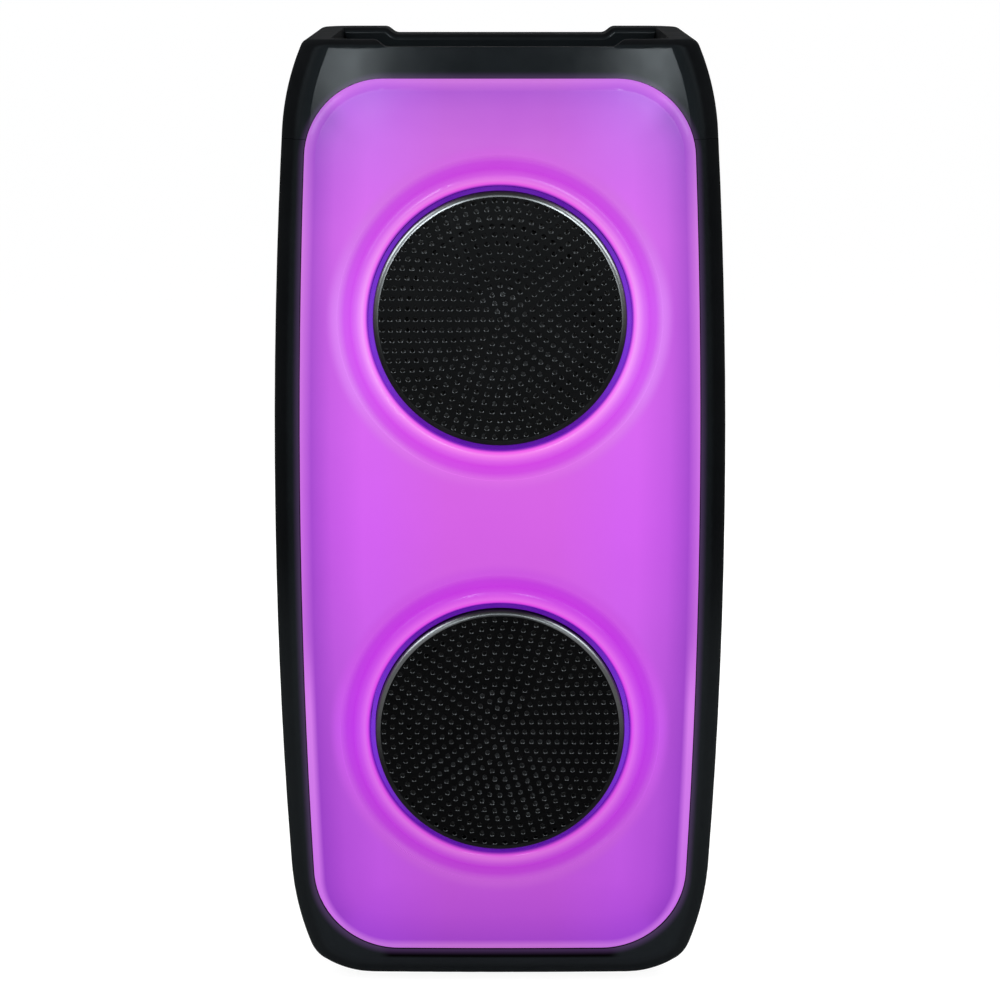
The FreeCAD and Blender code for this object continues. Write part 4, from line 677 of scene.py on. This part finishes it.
plated = grained("plated_steel", (0.42, 0.43, 0.44), (0.56, 0.57, 0.58), 35, (0.28, 0.42), 600, 0.00002,
                 metal=1.0)
ferrite = grained("ferrite", (0.018, 0.018, 0.019), (0.035, 0.035, 0.037), 200, (0.5, 0.7), 350, 0.0001)
for name in ("upper", "lower"):
    give(basket_black, f"{name}_woofer_basket")
    give(surround_rubber, f"{name}_surround")
    give(cone_paper, f"{name}_cone")
    give(cap_paper, f"{name}_dust_cap")
    give(spider_cloth, f"{name}_spider")
    give(coil_copper, f"{name}_voice_coil")
    give(plated, f"{name}_top_plate", f"{name}_yoke")
    give(ferrite, f"{name}_magnet")


# ---------------------------------------------------------------- baffle and lamps
# Behind the panel: a moulded baffle, a white reflector, and the strips of white lamps on it. The
# reflector's upper lip is painted black, so that no light shows in the deck.

PAINTED_LIP = (584, 592)

moulded_black = grained("moulded_black", (0.006, 0.007, 0.008), (0.010, 0.011, 0.012), 20, (0.45, 0.6), 900,
                        0.00004, gloss=0.12)
reflector_white = grained("white_reflector", (0.78, 0.78, 0.80), (0.86, 0.86, 0.87), 12, (0.5, 0.65), 500,
                          0.00004, gloss=0.2)
tray_tree, tray_shader = opened(reflector_white)
painted = ease(tray_tree, millimetres(tray_tree)[3], *PAINTED_LIP)
tray_paint = blend_colours(tray_tree, painted, feed(tray_shader.inputs["Base Color"]), (0.004, 0.004, 0.005))
tray_tree.links.new(tray_paint, tray_shader.inputs["Base Color"])
solder_mask = grained("solder_mask", (0.012, 0.09, 0.035), (0.02, 0.14, 0.05), 80, (0.25, 0.4), 260, 0.00004)
give(moulded_black, "front_baffle", "bass_port")
give(reflector_white, "reflector_tray")
give(solder_mask, "led_strips", "control_board", "amplifier_board")


# ---------------------------------------------------------------- control deck
# A gloss black plate let into the deck, with six satin push buttons in a row and a fluted dial
# behind them. The switches and the dial's encoder stand on a board below the plate.

deck_gloss = grained("gloss_black_plate", (0.003, 0.003, 0.0035), (0.006, 0.006, 0.0065), 9, (0.10, 0.18),
                     60, 0.000004, gloss=0.16)
knob_black = grained("dial_black", (0.008, 0.008, 0.009), (0.013, 0.013, 0.014), 40, (0.28, 0.36), 1400,
                     0.00002, gloss=0.25)
button_black = grained("button_black", (0.020, 0.020, 0.022), (0.030, 0.030, 0.032), 60, (0.4, 0.5), 1500,
                       0.00003, gloss=0.25)
switch_black = grained("switch_black", (0.02, 0.02, 0.021), (0.03, 0.03, 0.031), 120, (0.35, 0.5), 900,
                       0.00003)
legend_grey = grained("legend_ink", (0.42, 0.42, 0.43), (0.52, 0.52, 0.53), 300, (0.5, 0.6), 2500, 0.000004)
give(deck_gloss, "control_panel")
give(knob_black, "volume_knob")
give(button_black, *[name for name in nodes_of if name.endswith("_button")])
give(switch_black, "button_switches")
give(plated, "volume_encoder", "encoder_shaft")

INK = 0.00008
SYMBOL_GAP = 0.0062
POINTER_INSET = 0.0036
SCALE_GAP = 0.0055
SIGN_GAP = 0.0115


def ink_bar(x, y, width, length, turn=0.0):
    """A printed bar, as thick as the ink."""
    bpy.ops.mesh.primitive_cube_add(size=1, location=(0, 0, INK / 2), scale=(width, length, INK))
    bpy.ops.mesh.select_linked()
    bpy.ops.transform.rotate(value=turn, orient_axis="Z", center_override=(0, 0, 0))
    bpy.ops.transform.translate(value=(x, y, 0))


def ink_arrow(x, y, size, turn):
    """A printed triangle that points along +X before it is turned."""
    bpy.ops.mesh.primitive_cylinder_add(vertices=3, radius=size, depth=INK, location=(0, 0, INK / 2),
                                        rotation=(0, 0, -math.pi / 2 + turn))
    bpy.ops.transform.translate(value=(x, y, 0))


def ink_ring(x, y, radius, width, start, sweep):
    """A printed arc, spun from a small square end."""
    bpy.ops.mesh.primitive_plane_add(size=1, location=(0, 0, 0), rotation=(math.pi / 2, 0, 0))
    bpy.ops.transform.resize(value=(width, 1, INK), center_override=(0, 0, 0))
    bpy.ops.transform.translate(value=(radius, 0, INK / 2))
    bpy.ops.transform.rotate(value=start, orient_axis="Z", center_override=(0, 0, 0))
    bpy.ops.mesh.spin(steps=28, angle=sweep, center=(0, 0, 0), axis=(0, 0, 1))
    bpy.ops.mesh.select_linked()
    bpy.ops.transform.translate(value=(x, y, 0))


def legend(name, body, place, shapes):
    """Prints shapes, each a function with its numbers, at a place on a body."""
    bpy.ops.object.select_all(action="DESELECT")
    bpy.ops.mesh.primitive_plane_add(size=0.001)
    piece = bpy.context.object
    piece.name = name
    bpy.ops.object.mode_set(mode="EDIT")
    bpy.ops.mesh.delete(type="VERT")
    for shape, *numbers in shapes:
        bpy.ops.mesh.select_all(action="DESELECT")
        shape(*numbers)
    bpy.ops.mesh.select_all(action="SELECT")
    bpy.ops.mesh.remove_doubles(threshold=0.00001)
    bpy.ops.mesh.normals_make_consistent(inside=False)
    bpy.ops.transform.translate(value=place)
    bpy.ops.object.mode_set(mode="OBJECT")
    piece.data.materials.append(legend_grey)
    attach(piece, body)


plate_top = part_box("control_panel")[1][2]
SYMBOLS = {
    "power": [(ink_ring, 0, 0, 0.0024, 0.0006, math.radians(125), math.radians(290)),
              (ink_bar, 0, 0.0017, 0.0006, 0.0024)],
    "source": [(ink_bar, -0.0006, 0.0011, 0.0034, 0.0006), (ink_arrow, 0.0018, 0.0011, 0.0013, 0.0),
               (ink_bar, 0.0006, -0.0011, 0.0034, 0.0006), (ink_arrow, -0.0018, -0.0011, 0.0013, math.pi)],
    "previous": [(ink_bar, -0.0026, 0, 0.0006, 0.0030), (ink_arrow, -0.0008, 0, 0.0017, math.pi),
                 (ink_arrow, 0.0017, 0, 0.0017, math.pi)],
    "play": [(ink_arrow, -0.0014, 0, 0.0019, 0.0), (ink_bar, 0.0014, 0, 0.0007, 0.0030),
             (ink_bar, 0.0028, 0, 0.0007, 0.0030)],
    "next": [(ink_bar, 0.0026, 0, 0.0006, 0.0030), (ink_arrow, 0.0008, 0, 0.0017, 0.0),
             (ink_arrow, -0.0017, 0, 0.0017, 0.0)],
    "light": [(ink_ring, 0, 0, 0.0011, 0.0006, 0.0, 2 * math.pi)] + [
        (ink_bar, 0.0025 * math.cos(turn), 0.0025 * math.sin(turn), 0.0011, 0.0005, turn)
        for turn in [step * math.pi / 4 for step in range(8)]],
}
for name, shapes in SYMBOLS.items():
    low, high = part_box(f"{name}_button")
    legend(f"{name}_legend", "cabinet", ((low[0] + high[0]) / 2, low[1] - SYMBOL_GAP, plate_top), shapes)

low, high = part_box("volume_knob")
dial_x, dial_y, dial_radius = (low[0] + high[0]) / 2, (low[1] + high[1]) / 2, (high[0] - low[0]) / 2
legend("dial_pointer", "volume_control", (dial_x, dial_y, high[2]), [
    (ink_bar, 0, POINTER_INSET - dial_radius, 0.0009, 0.0025)])
scale_radius = dial_radius + SCALE_GAP
sign_place = dial_radius + SIGN_GAP
scale_marks = [(ink_bar, scale_radius * math.sin(turn), -scale_radius * math.cos(turn), 0.0006, 0.0022, turn)
               for turn in [math.radians(step * 15) for step in range(-9, 10)]]
minus_sign = [(ink_bar, -sign_place, 0, 0.0036, 0.0007)]
plus_sign = [(ink_bar, sign_place, 0, 0.0036, 0.0007), (ink_bar, sign_place, 0, 0.0007, 0.0036)]
legend("dial_scale", "cabinet", (dial_x, dial_y, plate_top), scale_marks + minus_sign + plus_sign)


# ---------------------------------------------------------------- back
# A moulded plate with the sockets, let into the rear box, the flared bass port above it, and behind
# the plate the amplifier board with its finned heat sink.

plate_black = grained("plate_black", (0.007, 0.0075, 0.008), (0.012, 0.0125, 0.013), 25, (0.42, 0.55), 1100,
                      0.00004, gloss=0.12)
socket_black = grained("socket_black", (0.014, 0.014, 0.015), (0.022, 0.022, 0.023), 80, (0.35, 0.5), 900,
                       0.00003, gloss=0.3)
sink_aluminium = grained("sink_aluminium", (0.60, 0.61, 0.62), (0.72, 0.73, 0.74), 20, (0.3, 0.45), 500,
                         0.00003, stretch=(1, 1, 0.08), metal=1.0)
give(plate_black, "connector_panel")
give(socket_black, "microphone_jack_left", "microphone_jack_right", "aux_jack", "power_inlet")
give(plated, "usb_port", "inlet_pins")
give(sink_aluminium, "heat_sink")


# ---------------------------------------------------------------- battery
# A pack of cells in blue shrink wrap, which stands on the floor of the box under a bent steel strap
# with the same black enamel as the baskets.

battery_wrap = grained("battery_wrap", (0.02, 0.07, 0.26), (0.03, 0.10, 0.34), 18, (0.2, 0.35), 90, 0.0001)
give(battery_wrap, "battery_pack")
give(basket_black, "battery_bracket")


# ---------------------------------------------------------------- feet and screws
# Moulded rubber feet under the floor of the box, and black pan head steel screws in its back and
# round the plate with the sockets.

foot_rubber = grained("foot_rubber", (0.012, 0.012, 0.012), (0.02, 0.02, 0.02), 60, (0.65, 0.85), 800,
                      0.00012)
screw_black = grained("screw_black", (0.02, 0.02, 0.021), (0.035, 0.035, 0.037), 300, (0.3, 0.45), 1500,
                      0.00003, metal=0.8)
give(foot_rubber, "foot_front_left", "foot_front_right", "foot_rear_left", "foot_rear_right")
give(screw_black, "connector_panel_screws", "cabinet_screws")
